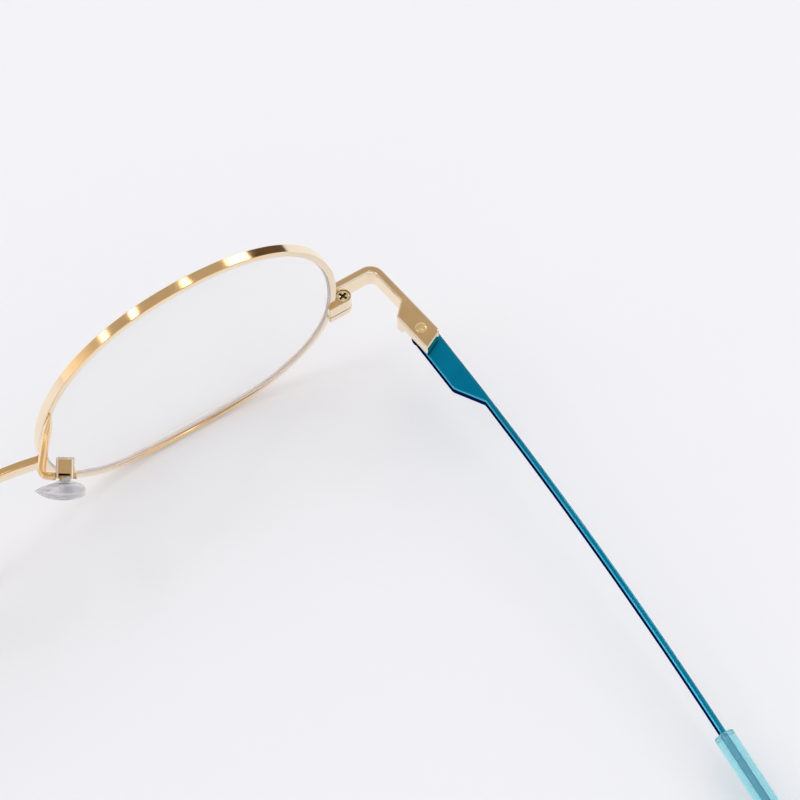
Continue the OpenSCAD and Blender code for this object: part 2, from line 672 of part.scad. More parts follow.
bridge();
rim();  // left_rim
lens();  // left_lens
lock_upper();  // left_lock_upper
lock_lower();  // left_lock_lower
lock_screw();  // left_lock_screw
end_piece();  // left_end_piece
hinge_pin();  // left_hinge_pin
hinge_washer();  // left_hinge_washer
hinge_foot();  // left_hinge_foot
temple();  // left_temple
temple_tip();  // left_temple_tip
pad_arm();  // left_pad_arm
pad_box();  // left_pad_box
pad_screw();  // left_pad_screw
pad_core();  // left_pad_core
nose_pad();  // left_nose_pad
on_right() rim();  // right_rim
on_right() lens();  // right_lens
on_right() lock_upper();  // right_lock_upper
on_right() lock_lower();  // right_lock_lower
on_right() lock_screw();  // right_lock_screw
on_right() end_piece();  // right_end_piece
on_right() hinge_pin();  // right_hinge_pin
on_right() hinge_washer();  // right_hinge_washer
on_right() hinge_foot();  // right_hinge_foot
on_right() temple();  // right_temple
on_right() temple_tip();  // right_temple_tip
on_right() pad_arm();  // right_pad_arm
on_right() pad_box();  // right_pad_box
on_right() pad_screw();  // right_pad_screw
on_right() pad_core();  // right_pad_core
on_right() nose_pad();  // right_nose_pad
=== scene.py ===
"""Round wire spectacles that lie upside down on a pale table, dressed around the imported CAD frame.

Every size is in metres. Most repeat the part's own sizes; the sleeve and the round front of the
temple plate are a little smaller. The wearer looks along +Y, so +X is the wearer's left. Pieces are
built for the left half and mirrored for the right one.
"""

import json
import logging
import math
from dataclasses import dataclass
from enum import Enum
from typing import Callable, Optional, Sequence, Union

import bmesh
import bpy
from mathutils import Matrix, Vector

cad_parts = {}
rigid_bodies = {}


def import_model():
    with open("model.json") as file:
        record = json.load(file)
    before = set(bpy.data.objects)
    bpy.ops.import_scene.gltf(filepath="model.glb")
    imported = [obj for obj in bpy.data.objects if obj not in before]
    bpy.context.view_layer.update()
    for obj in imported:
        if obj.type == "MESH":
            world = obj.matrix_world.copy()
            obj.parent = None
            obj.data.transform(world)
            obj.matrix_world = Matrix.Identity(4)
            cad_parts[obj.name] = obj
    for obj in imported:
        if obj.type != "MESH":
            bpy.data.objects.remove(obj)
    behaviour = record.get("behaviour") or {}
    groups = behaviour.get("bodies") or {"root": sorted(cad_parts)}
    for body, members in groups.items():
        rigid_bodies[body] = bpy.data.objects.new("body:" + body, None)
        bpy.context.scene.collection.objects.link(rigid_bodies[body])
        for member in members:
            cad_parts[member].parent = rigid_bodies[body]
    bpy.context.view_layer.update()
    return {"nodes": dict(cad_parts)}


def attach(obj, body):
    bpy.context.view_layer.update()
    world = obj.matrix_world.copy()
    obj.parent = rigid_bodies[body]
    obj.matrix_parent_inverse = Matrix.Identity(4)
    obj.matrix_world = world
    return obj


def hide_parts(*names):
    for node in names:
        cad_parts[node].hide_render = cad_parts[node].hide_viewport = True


LOG = logging.getLogger("spectacles")
# Smallest step, clearance round a turning piece, and reach of a cutter that goes right through
HAIR = 1e-5
PLAY = 2e-5
THROUGH = 0.01
Rgb = tuple[float, float, float]
Place = tuple[float, float, float]
Feed = Union[bpy.types.NodeSocket, Sequence[float], float, int, bool]


class Side(Enum):
    """The wearer's side that a piece belongs to."""

    LEFT = "left"
    RIGHT = "right"


class Body(Enum):
    """Moving groups of the part; the temples and pads have one on each side."""

    FRONT = "front"
    TEMPLE = "temple"
    PAD = "pad"


def turn(axis: str, degrees: float) -> Matrix:
    """Rotation about one axis, in degrees."""
    return Matrix.Rotation(math.radians(degrees), 4, axis)


def shift(x: float, y: float, z: float) -> Matrix:
    """Translation by three lengths."""
    return Matrix.Translation((x, y, z))


@dataclass(frozen=True)
class Stance:
    """How the spectacles lie, and the frames that their pieces are built in."""

    slope_deg: float = 6.28852
    lift: float = 0.0168039
    mid_y: float = -0.0737547
    lean_deg: float = 8.0
    hinge_rise: float = 0.0054
    lens_x: float = 0.0339852
    hinge_x: float = 0.0659593
    hinge_back: float = 0.01162
    box_in: float = 0.0230
    box_down: float = 0.0011
    box_back: float = 0.00725
    pad_splay: float = 32.6
    pad_tilt: float = 25.0

    @property
    def lying(self) -> Matrix:
        """Hinge plane to world: x across the face, y forwards, z up as it lies."""
        return shift(0, -self.mid_y, self.lift) @ turn("X", self.slope_deg)

    @property
    def lens_plane(self) -> Matrix:
        """Lens plane to world: x across, y down the face as worn, z backwards from the rim's front."""
        seat = turn("X", self.lean_deg) @ shift(self.lens_x, 0, self.hinge_rise) @ turn("X", 90)
        return self.lying @ seat

    @property
    def hinge(self) -> Matrix:
        """Frame of the left hinge pin, at the top of the leaf."""
        return self.lying @ shift(self.hinge_x, -self.hinge_back, 0)

    @property
    def pad_screw(self) -> Matrix:
        """Frame of the left pad's screw, with z towards the pad."""
        place = shift(-self.box_in, self.box_down, self.box_back)
        return self.lens_plane @ place @ turn("Y", -self.pad_splay) @ turn("X", self.pad_tilt)


@dataclass(frozen=True)
class Arc:
    """One arc of the rim's outer edge: centre, radius, first angle and sweep in degrees."""

    x: float
    y: float
    r: float
    start: float
    sweep: float


@dataclass(frozen=True)
class RimOutline:
    """Outline of the rim's outer edge as eight tangent arcs."""

    chin_y: float = 0.02387
    chin_r: float = 0.0279
    chin_deg: float = 12.6
    cheek_r: float = 0.0215
    cheek_deg: float = 51.2
    side_r: float = 0.0321
    side_deg: float = 33.2
    corner_r: float = 0.01755
    corner_deg: float = 72.0

    def arcs(self) -> list[Arc]:
        """Arcs in order, turning from the face's lowest point towards the wearer's other side.

        Returns:
            The eight arcs.
        """

        def turned(degrees: float) -> Vector:
            """Direction at an angle from straight down the face."""
            a = math.radians(degrees)
            return Vector((math.sin(a), math.cos(a)))

        side_from = self.chin_deg + self.cheek_deg
        corner_from = side_from + self.side_deg
        brow_from = corner_from + self.corner_deg
        chin = Vector((0, self.chin_y - self.chin_r))
        cheek = chin + (self.chin_r - self.cheek_r) * turned(self.chin_deg)
        side = cheek + (self.cheek_r - self.side_r) * turned(side_from)
        corner = side + (self.side_r - self.corner_r) * turned(corner_from)
        brow_r = self.corner_r + corner.x / math.sin(math.radians(brow_from))
        brow = corner + (self.corner_r - brow_r) * turned(brow_from)
        return [
            Arc(chin.x, chin.y, self.chin_r, 90 - self.chin_deg, 2 * self.chin_deg),
            Arc(-cheek.x, cheek.y, self.cheek_r, 90 + self.chin_deg, self.cheek_deg),
            Arc(-side.x, side.y, self.side_r, 90 + side_from, self.side_deg),
            Arc(-corner.x, corner.y, self.corner_r, 90 + corner_from, self.corner_deg),
            Arc(brow.x, brow.y, brow_r, 90 + brow_from, 360 - 2 * brow_from),
            Arc(corner.x, corner.y, self.corner_r, 90 - brow_from, self.corner_deg),
            Arc(side.x, side.y, self.side_r, 90 - corner_from, self.side_deg),
            Arc(cheek.x, cheek.y, self.cheek_r, 90 - side_from, self.cheek_deg),
        ]

    def points(self, inset: float, step_deg: float) -> list[Vector]:
        """Closed run of points parallel to the outer edge.

        Args:
            inset: distance inwards from the outer edge.
            step_deg: largest turn between two points.

        Returns:
            The points in the lens plane, without a repeated last one.
        """
        run: list[Vector] = []
        for arc in self.arcs():
            count = max(2, math.ceil(arc.sweep / step_deg))
            for i in range(count):
                a = math.radians(arc.start + arc.sweep * i / count)
                r = arc.r - inset
                run.append(Vector((arc.x + r * math.cos(a), arc.y + r * math.sin(a))))
        return run


# Meshes


def linked(name: str, data: bpy.types.ID) -> bpy.types.Object:
    """New object for a data block, linked to the scene.

    Args:
        name: the object's name.
        data: its mesh, curve, lamp or camera.

    Returns:
        The object.
    """
    obj = bpy.data.objects.new(name, data)
    bpy.context.scene.collection.objects.link(obj)
    return obj


def to_mesh(bm: bmesh.types.BMesh, name: str) -> bpy.types.Mesh:
    """Writes a bmesh to a new mesh, with its faces turned outwards.

    Args:
        bm: the closed shape; it is freed.
        name: name of the mesh.

    Returns:
        The new mesh.
    """
    bmesh.ops.recalc_face_normals(bm, faces=bm.faces[:])
    mesh = bpy.data.meshes.new(name)
    bm.to_mesh(mesh)
    bm.free()
    return mesh


def baked(obj: bpy.types.Object) -> bpy.types.Mesh:
    """Takes an object's evaluated mesh and removes the object.

    Args:
        obj: the object with its modifiers.

    Returns:
        A plain mesh with the modifiers applied.
    """
    graph = bpy.context.evaluated_depsgraph_get()
    graph.update()
    mesh = bpy.data.meshes.new_from_object(obj.evaluated_get(graph), depsgraph=graph)
    bpy.data.objects.remove(obj)
    return mesh


def prism(plan: Sequence[Vector], z0: float, z1: float) -> bpy.types.Mesh:
    """Upright block over a plan outline.

    Args:
        plan: the outline's points in turn.
        z0: height of the lower face.
        z1: height of the upper face.

    Returns:
        The closed mesh.
    """
    bm = bmesh.new()
    low = [bm.verts.new((p.x, p.y, z0)) for p in plan]
    high = [bm.verts.new((p.x, p.y, z1)) for p in plan]
    bm.faces.new(low)
    bm.faces.new(high)
    for i in range(len(plan)):
        k = (i + 1) % len(plan)
        bm.faces.new((low[i], low[k], high[k], high[i]))
    return to_mesh(bm, "prism")


def block(low: Sequence[float], high: Sequence[float]) -> bpy.types.Mesh:
    """Box between two corners, for use as a starting shape or a cutter."""
    corners = ((low[0], low[1]), (high[0], low[1]), (high[0], high[1]), (low[0], high[1]))
    return prism([Vector(p) for p in corners], low[2], high[2])


def lathe(profile: Sequence[tuple[float, float]], steps: int = 64) -> bpy.types.Mesh:
    """Turned shape about z; a radius of nought closes the profile at a pole.

    Args:
        profile: (radius, height) pairs; a profile that starts and ends away from the axis closes on itself.
        steps: number of facets round the axis.

    Returns:
        The closed mesh.
    """
    bm = bmesh.new()
    rings = []
    for r, z in profile:
        if r < HAIR / 10:
            rings.append([bm.verts.new((0, 0, z))])
            continue
        ring = []
        for i in range(steps):
            a = 2 * math.pi * i / steps
            ring.append(bm.verts.new((r * math.cos(a), r * math.sin(a), z)))
        rings.append(ring)
    pairs = list(zip(rings, rings[1:]))
    if len(rings[0]) > 1 and len(rings[-1]) > 1:
        pairs.append((rings[-1], rings[0]))
    for a, b in pairs:
        join_rings(bm, a, b)
    return to_mesh(bm, "lathe")


def rod(radius: float, low: float, high: float, steps: int = 64) -> bpy.types.Mesh:
    """Round bar about z between two heights, for use as a starting shape or a cutter."""
    return lathe([(0, low), (radius, low), (radius, high), (0, high)], steps)


def circle(radius: float, count: int) -> list[tuple[float, float]]:
    """Points round a circle about the origin."""
    turns = [2 * math.pi * i / count for i in range(count)]
    return [(radius * math.cos(a), radius * math.sin(a)) for a in turns]


def join_rings(bm: bmesh.types.BMesh, a: list[bmesh.types.BMVert], b: list[bmesh.types.BMVert]) -> None:
    """Faces between two closed rings of vertices, either of which may be a single pole.

    Args:
        bm: the shape that the rings belong to.
        a: vertices of the first ring.
        b: vertices of the second ring.
    """
    n = max(len(a), len(b))
    for i in range(n):
        k = (i + 1) % n
        if len(a) == 1:
            bm.faces.new((a[0], b[i], b[k]))
        elif len(b) == 1:
            bm.faces.new((a[i], b[0], a[k]))
        else:
            bm.faces.new((a[i], b[i], b[k], a[k]))


def carved(mesh: bpy.types.Mesh, cutters: Sequence[bpy.types.Mesh], join: bool = False) -> bpy.types.Mesh:
    """Cuts shapes out of a mesh, or joins them to it.

    Args:
        mesh: the starting shape.
        cutters: the shapes to take away or add.
        join: whether to add them.

    Returns:
        The new mesh.
    """
    obj = linked("carve", mesh)
    tools = []
    for cutter in cutters:
        tool = linked("cutter", cutter)
        tools.append(tool)
        step = obj.modifiers.new("carve", "BOOLEAN")
        step.operation = "UNION" if join else "DIFFERENCE"
        step.solver = "EXACT"
        step.object = tool
    result = baked(obj)
    for tool in tools:
        bpy.data.objects.remove(tool)
    return result


def moved(mesh: bpy.types.Mesh, matrix: Matrix) -> bpy.types.Mesh:
    """Moves a mesh in place and returns it."""
    mesh.transform(matrix)
    return mesh


def softened(
    mesh: bpy.types.Mesh,
    width: float,
    segments: int = 3,
    limit_deg: float = 28,
    weight: Optional[Callable[[Vector, Vector], float]] = None,
    banded: bool = False,
) -> bpy.types.Mesh:
    """Rounds a shape's edges.

    Args:
        mesh: the sharp shape.
        width: width of the rounding.
        segments: facets across it.
        limit_deg: edges that turn less than this stay.
        weight: share of the width for an edge, from its two ends; without one, sharp edges get all of it.
        banded: whether the rounded faces get the second place in the mesh, where callers put a painted
            highlight.

    Returns:
        The rounded mesh.
    """
    weld, flat_deg = HAIR / 20, 0.3
    bm = bmesh.new()
    bm.from_mesh(mesh)
    bmesh.ops.remove_doubles(bm, verts=bm.verts[:], dist=weld)
    bmesh.ops.dissolve_limit(bm, angle_limit=math.radians(flat_deg), verts=bm.verts[:], edges=bm.edges[:])
    if weight is not None:
        layer = bm.edges.layers.float.new("bevel_weight_edge")
        for edge in bm.edges:
            if edge.is_manifold and edge.calc_face_angle(0) > math.radians(limit_deg):
                edge[layer] = weight(edge.verts[0].co, edge.verts[1].co)
    bm.to_mesh(mesh)
    bm.free()
    mesh.materials.clear()
    for _ in range(2):
        mesh.materials.append(None)
    obj = linked("soften", mesh)
    bevel = obj.modifiers.new("bevel", "BEVEL")
    bevel.width = width
    bevel.segments = segments
    bevel.limit_method = "WEIGHT" if weight is not None else "ANGLE"
    bevel.angle_limit = math.radians(limit_deg)
    bevel.miter_outer = "MITER_ARC"
    bevel.use_clamp_overlap = weight is None
    bevel.material = 1 if banded else 0
    return baked(obj)


def wider_on_top(top: float, rest: float) -> Callable[[Vector, Vector], float]:
    """Shares of a rounding that is at its full width along a shape's top edges only.

    Args:
        top: height of the top face.
        rest: share of the width for the other edges.

    Returns:
        The function that gives the share of an edge from its two ends.
    """

    def share(p: Vector, q: Vector) -> float:
        """Share of one edge."""
        return 1.0 if min(p.z, q.z) > top - HAIR else rest

    return share


def smooth(mesh: bpy.types.Mesh, sharp_deg: float = 38, weighted: bool = True) -> bpy.types.Mesh:
    """Smooth shading that keeps flat faces flat and marks edges above an angle as sharp.

    Args:
        mesh: the finished shape.
        sharp_deg: smallest angle of a sharp edge.
        weighted: whether large faces pull the normals.

    Returns:
        The shaded mesh.
    """
    bm = bmesh.new()
    bm.from_mesh(mesh)
    bmesh.ops.recalc_face_normals(bm, faces=bm.faces[:])
    bm.to_mesh(mesh)
    bm.free()
    mesh.shade_smooth()
    mesh.set_sharp_from_angle(angle=math.radians(sharp_deg))
    if not weighted:
        return mesh
    obj = linked("shade", mesh)
    step = obj.modifiers.new("weighted", "WEIGHTED_NORMAL")
    step.keep_sharp = True
    step.weight = 80
    return baked(obj)


def mirrored(mesh: bpy.types.Mesh) -> bpy.types.Mesh:
    """Copy of a mesh for the wearer's other side, with its faces turned the right way again.

    Args:
        mesh: the left piece.

    Returns:
        The right piece.
    """
    copy = mesh.copy()
    copy.transform(Matrix.Scale(-1, 4, Vector((1, 0, 0))))
    copy.flip_normals()
    return copy


def arc_points(c: Vector, r: float, a0: float, sweep: float, n: int) -> list[Vector]:
    """Points along an arc.

    Args:
        c: the arc's centre.
        r: its radius.
        a0: its first angle in degrees.
        sweep: how far it turns, in degrees.
        n: number of segments.

    Returns:
        The points, both ends among them.
    """
    out = []
    for i in range(n + 1):
        a = math.radians(a0 + sweep * i / n)
        out.append(Vector((c.x + r * math.cos(a), c.y + r * math.sin(a))))
    return out


def rounded(corners: Sequence[tuple[float, float, float]], steps: int = 10) -> list[Vector]:
    """Plan outline with rounded corners.

    Args:
        corners: x, y and corner radius of each corner in turn.
        steps: segments along each rounding.

    Returns:
        The outline's points.
    """
    out: list[Vector] = []
    n = len(corners)
    for i, (x, y, r) in enumerate(corners):
        p = Vector((x, y))
        if r == 0:
            out.append(p)
            continue
        u = (Vector(corners[i - 1][:2]) - p).normalized()
        v = (Vector(corners[(i + 1) % n][:2]) - p).normalized()
        half = u.angle(v) / 2
        c = p + (u + v).normalized() * (r / math.sin(half))
        s = p + u * (r / math.tan(half)) - c
        e = p + v * (r / math.tan(half)) - c
        a0 = math.degrees(math.atan2(s.y, s.x))
        a1 = math.degrees(math.atan2(e.y, e.x))
        sweep = (a1 - a0 + 180) % 360 - 180
        out += arc_points(c, r, a0, sweep, steps)
    return out


# Nodes


def added(tree: bpy.types.NodeTree, kind: str, feeds: dict, **options: object) -> bpy.types.Node:
    """Adds a node and sets its options, then links or sets its inputs.

    Args:
        tree: the tree that gets the node.
        kind: the node's type.
        feeds: a Feed for each input, by the socket's name or number.
        options: the node's own options.

    Returns:
        The node.
    """
    node = tree.nodes.new(kind)
    for name, value in options.items():
        setattr(node, name, value)
    for key, value in feeds.items():
        if isinstance(value, bpy.types.NodeSocket):
            tree.links.new(value, node.inputs[key])
        else:
            node.inputs[key].default_value = value
    return node


def maths(tree: bpy.types.NodeTree, kind: str, *values: Feed, clamp: bool = False) -> bpy.types.NodeSocket:
    """Result of a Math node over numbers or sockets."""
    return added(tree, "ShaderNodeMath", dict(enumerate(values)), operation=kind, use_clamp=clamp).outputs[0]


def ranged(
    tree: bpy.types.NodeTree,
    value: bpy.types.NodeSocket,
    source: tuple[float, float],
    target: tuple[float, float],
    kind: str = "SMOOTHSTEP",
) -> bpy.types.NodeSocket:
    """Value that goes over a target range while another one goes over its source range.

    Args:
        tree: the tree that gets the node.
        value: the value that is followed.
        source: where the change begins and ends.
        target: the results there.
        kind: the kind of change, smooth or linear.

    Returns:
        The new value.
    """
    feeds = {
        "Value": value, "From Min": source[0], "From Max": source[1],
        "To Min": target[0], "To Max": target[1],
    }
    return added(tree, "ShaderNodeMapRange", feeds, interpolation_type=kind).outputs["Result"]


def blended(
    tree: bpy.types.NodeTree, mask: bpy.types.NodeSocket, low: Feed, high: Feed
) -> bpy.types.NodeSocket:
    """Colour that goes from one tone to another with a mask.

    Args:
        tree: the tree that gets the node.
        mask: the mask, from nought to one.
        low: tone where the mask is nought, a socket or three numbers.
        high: tone where it is one.

    Returns:
        The mixed colour.
    """
    tones = [tone if isinstance(tone, bpy.types.NodeSocket) else (*tone, 1.0) for tone in (low, high)]
    feeds = {"Factor": mask, "A": tones[0], "B": tones[1]}
    return added(tree, "ShaderNodeMix", feeds, data_type="RGBA").outputs["Result"]


# Geometry Nodes trees


def with_inputs(tree: bpy.types.NodeTree, kinds: dict[str, str]) -> dict[str, str]:
    """Gives a tree its named inputs and a mesh output.

    Args:
        tree: the Geometry Nodes tree.
        kinds: socket type of each input, by name.

    Returns:
        Identifier of each input, by name.
    """
    for name, kind in kinds.items():
        tree.interface.new_socket(name, in_out="INPUT", socket_type=kind)
    tree.interface.new_socket("Mesh", in_out="OUTPUT", socket_type="NodeSocketGeometry")
    return {item.name: item.identifier for item in tree.interface.items_tree if item.in_out == "INPUT"}


def finished(tree: bpy.types.NodeTree, mesh: bpy.types.NodeSocket, finish: bpy.types.NodeSocket) -> None:
    """Ends a tree in Realize Instances and Set Material.

    Args:
        tree: the Geometry Nodes tree.
        mesh: the result so far.
        finish: the input with the material.
    """
    real = added(tree, "GeometryNodeRealizeInstances", {0: mesh})
    dress = added(tree, "GeometryNodeSetMaterial", {"Geometry": real.outputs[0], "Material": finish})
    added(tree, "NodeGroupOutput", {0: dress.outputs[0]})


class SweepTree:
    """Geometry Nodes tree that runs a profile along a path."""

    def __init__(self) -> None:
        """Builds the tree with its named inputs."""
        tree = bpy.data.node_groups.new("profile_along_path", "GeometryNodeTree")
        self.tree = tree
        self.ids = with_inputs(tree, {
            "Path": "NodeSocketGeometry", "Profile": "NodeSocketObject",
            "Closed Ends": "NodeSocketBool", "Finish": "NodeSocketMaterial",
        })
        given = tree.nodes.new("NodeGroupInput").outputs
        upright = added(tree, "GeometryNodeSetCurveNormal", {"Curve": given["Path"]}, mode="Z_UP")
        profile = added(tree, "GeometryNodeObjectInfo", {"Object": given["Profile"]})
        width = added(tree, "GeometryNodeInputRadius", {})
        sweep = added(tree, "GeometryNodeCurveToMesh", {
            "Curve": upright.outputs[0], "Profile Curve": profile.outputs["Geometry"],
            "Scale": width.outputs[0], "Fill Caps": given["Closed Ends"],
        })
        finished(tree, sweep.outputs[0], given["Finish"])

    @staticmethod
    def curve(
        name: str, points: Sequence[Sequence[float]], closed: bool, widths: Optional[Sequence[float]] = None
    ) -> bpy.types.Object:
        """Object with one straight-sided curve.

        Args:
            name: the object's name.
            points: points in the plane or in space.
            closed: whether the curve closes on itself.
            widths: share of the profile's size at each point.

        Returns:
            The object.
        """
        data = bpy.data.curves.new(name, "CURVE")
        data.dimensions = "3D"
        spline = data.splines.new("POLY")
        spline.points.add(len(points) - 1)
        for knot, p, width in zip(spline.points, points, widths or [1.0] * len(points)):
            knot.co = (p[0], p[1], p[2] if len(p) > 2 else 0.0, 1.0)
            knot.radius = width
        spline.use_cyclic_u = closed
        return linked(name, data)

    def run(
        self,
        path: Sequence[Sequence[float]],
        profile: Sequence[Sequence[float]],
        finish: bpy.types.Material,
        closed: bool = False,
        widths: Optional[Sequence[float]] = None,
    ) -> bpy.types.Mesh:
        """Runs a closed profile along a path.

        Args:
            path: the path's points.
            profile: the profile's points; x points away from the inside of the path's bend.
            finish: the material that the tree sets.
            closed: whether the path closes on itself.
            widths: share of the profile's size at each point of the path.

        Returns:
            The swept mesh, closed at its ends.
        """
        line = self.curve("path", path, closed, widths)
        outline = self.curve("profile", profile, True)
        step = line.modifiers.new("sweep", "NODES")
        step.node_group = self.tree
        step[self.ids["Profile"]] = outline
        step[self.ids["Closed Ends"]] = not closed
        step[self.ids["Finish"]] = finish
        mesh = baked(line)
        bpy.data.objects.remove(outline)
        bm = bmesh.new()
        bm.from_mesh(mesh)
        bmesh.ops.remove_doubles(bm, verts=bm.verts[:], dist=HAIR / 50)
        bmesh.ops.recalc_face_normals(bm, faces=bm.faces[:])
        bm.to_mesh(mesh)
        bm.free()
        return mesh


class ScrewHeadTree:
    """Geometry Nodes tree for a screw: a shank and a head with one slot or a cross."""

    LENGTHS = ("Head Radius", "Head Height", "Shank Radius", "Shank Length", "Slot Length", "Slot Width",
               "Slot Depth", "Slot Turn")

    def __init__(self) -> None:
        """Builds the tree with its named inputs."""
        tree = bpy.data.node_groups.new("slotted_screw", "GeometryNodeTree")
        self.tree = tree
        kinds = {"Start": "NodeSocketGeometry"}
        kinds.update({name: "NodeSocketFloat" for name in self.LENGTHS})
        kinds.update({"Slots": "NodeSocketInt", "Finish": "NodeSocketMaterial"})
        self.ids = with_inputs(tree, kinds)
        given = tree.nodes.new("NodeGroupInput").outputs
        feeds = {"Mesh 1": self._body(given), "Mesh 2": self._cutters(given), "Self Intersection": True}
        cut = added(tree, "GeometryNodeMeshBoolean", feeds, operation="DIFFERENCE", solver="EXACT")
        finished(tree, cut.outputs["Mesh"], given["Finish"])

    def _lifted(self, mesh: bpy.types.NodeSocket, height: bpy.types.NodeSocket) -> bpy.types.NodeSocket:
        """Mesh moved along the screw's axis."""
        offset = added(self.tree, "ShaderNodeCombineXYZ", {"Z": height}).outputs[0]
        return added(self.tree, "GeometryNodeTransform", {"Geometry": mesh, "Translation": offset}).outputs[0]

    def _body(self, given: bpy.types.NodeOutputs) -> bpy.types.NodeSocket:
        """Head on its shank, which reaches a little way into the head.

        Args:
            given: the tree's inputs.

        Returns:
            The joined mesh.
        """
        union = added(self.tree, "GeometryNodeMeshBoolean", {}, operation="UNION", solver="EXACT")
        for radius, length, sides, lift in (
            ("Head Radius", "Head Height", 48, 0.5), ("Shank Radius", "Shank Length", 40, -0.4995)
        ):
            feeds = {"Vertices": sides, "Radius": given[radius], "Depth": given[length]}
            bar = added(self.tree, "GeometryNodeMeshCylinder", feeds).outputs["Mesh"]
            placed = self._lifted(bar, maths(self.tree, "MULTIPLY", given[length], lift))
            self.tree.links.new(placed, union.inputs["Mesh 2"])
        return union.outputs["Mesh"]

    def _cutters(self, given: bpy.types.NodeOutputs) -> bpy.types.NodeSocket:
        """One slot cutter at the head's top, repeated and turned about the screw's axis.

        Args:
            given: the tree's inputs.

        Returns:
            The cutters' mesh.
        """
        tree = self.tree
        depth = maths(tree, "MULTIPLY", given["Slot Depth"], 2.0)
        feeds = {"X": given["Slot Length"], "Y": given["Slot Width"], "Z": depth}
        size = added(tree, "ShaderNodeCombineXYZ", feeds).outputs[0]
        slot = added(tree, "GeometryNodeMeshCube", {"Size": size}).outputs["Mesh"]
        spots = added(tree, "GeometryNodePoints", {"Count": given["Slots"]}).outputs[0]
        order = added(tree, "GeometryNodeInputIndex", {}).outputs[0]
        share = maths(tree, "DIVIDE", order, given["Slots"])
        angle = maths(tree, "MULTIPLY_ADD", share, math.pi, given["Slot Turn"])
        spin = added(tree, "ShaderNodeCombineXYZ", {"Z": angle}).outputs[0]
        feeds = {"Points": spots, "Instance": slot, "Rotation": spin}
        copies = added(tree, "GeometryNodeInstanceOnPoints", feeds).outputs[0]
        solid = added(tree, "GeometryNodeRealizeInstances", {0: copies}).outputs[0]
        return self._lifted(solid, given["Head Height"])

    def run(
        self, sizes: dict[str, float], slots: int, finish: bpy.types.Material, bevel: float
    ) -> bpy.types.Mesh:
        """Makes one screw with its head's underside at z = 0 and its recess in the second place, which
        callers give a painted shade.

        Args:
            sizes: value of each named length and turn.
            slots: one for a slot, two for a cross.
            finish: the material that the tree sets.
            bevel: width of the rounding of its edges.

        Returns:
            The screw's mesh.
        """
        holder = linked("screw", bpy.data.meshes.new("screw"))
        step = holder.modifiers.new("screw", "NODES")
        step.node_group = self.tree
        for name, value in sizes.items():
            step[self.ids[name]] = float(value)
        step[self.ids["Slots"]] = slots
        step[self.ids["Finish"]] = finish
        mesh = softened(baked(holder), bevel, segments=2, limit_deg=40)
        reach, top = sizes["Head Radius"] * 0.9, sizes["Head Height"] - bevel * 0.7
        # Faces inside the slot or cross get the second place, which callers give a painted shade
        for face in mesh.polygons:
            spot = face.center
            inside = math.hypot(spot.x, spot.y) < reach and 0 < spot.z < top
            face.material_index = 1 if inside else 0
        return mesh


# Shader groups


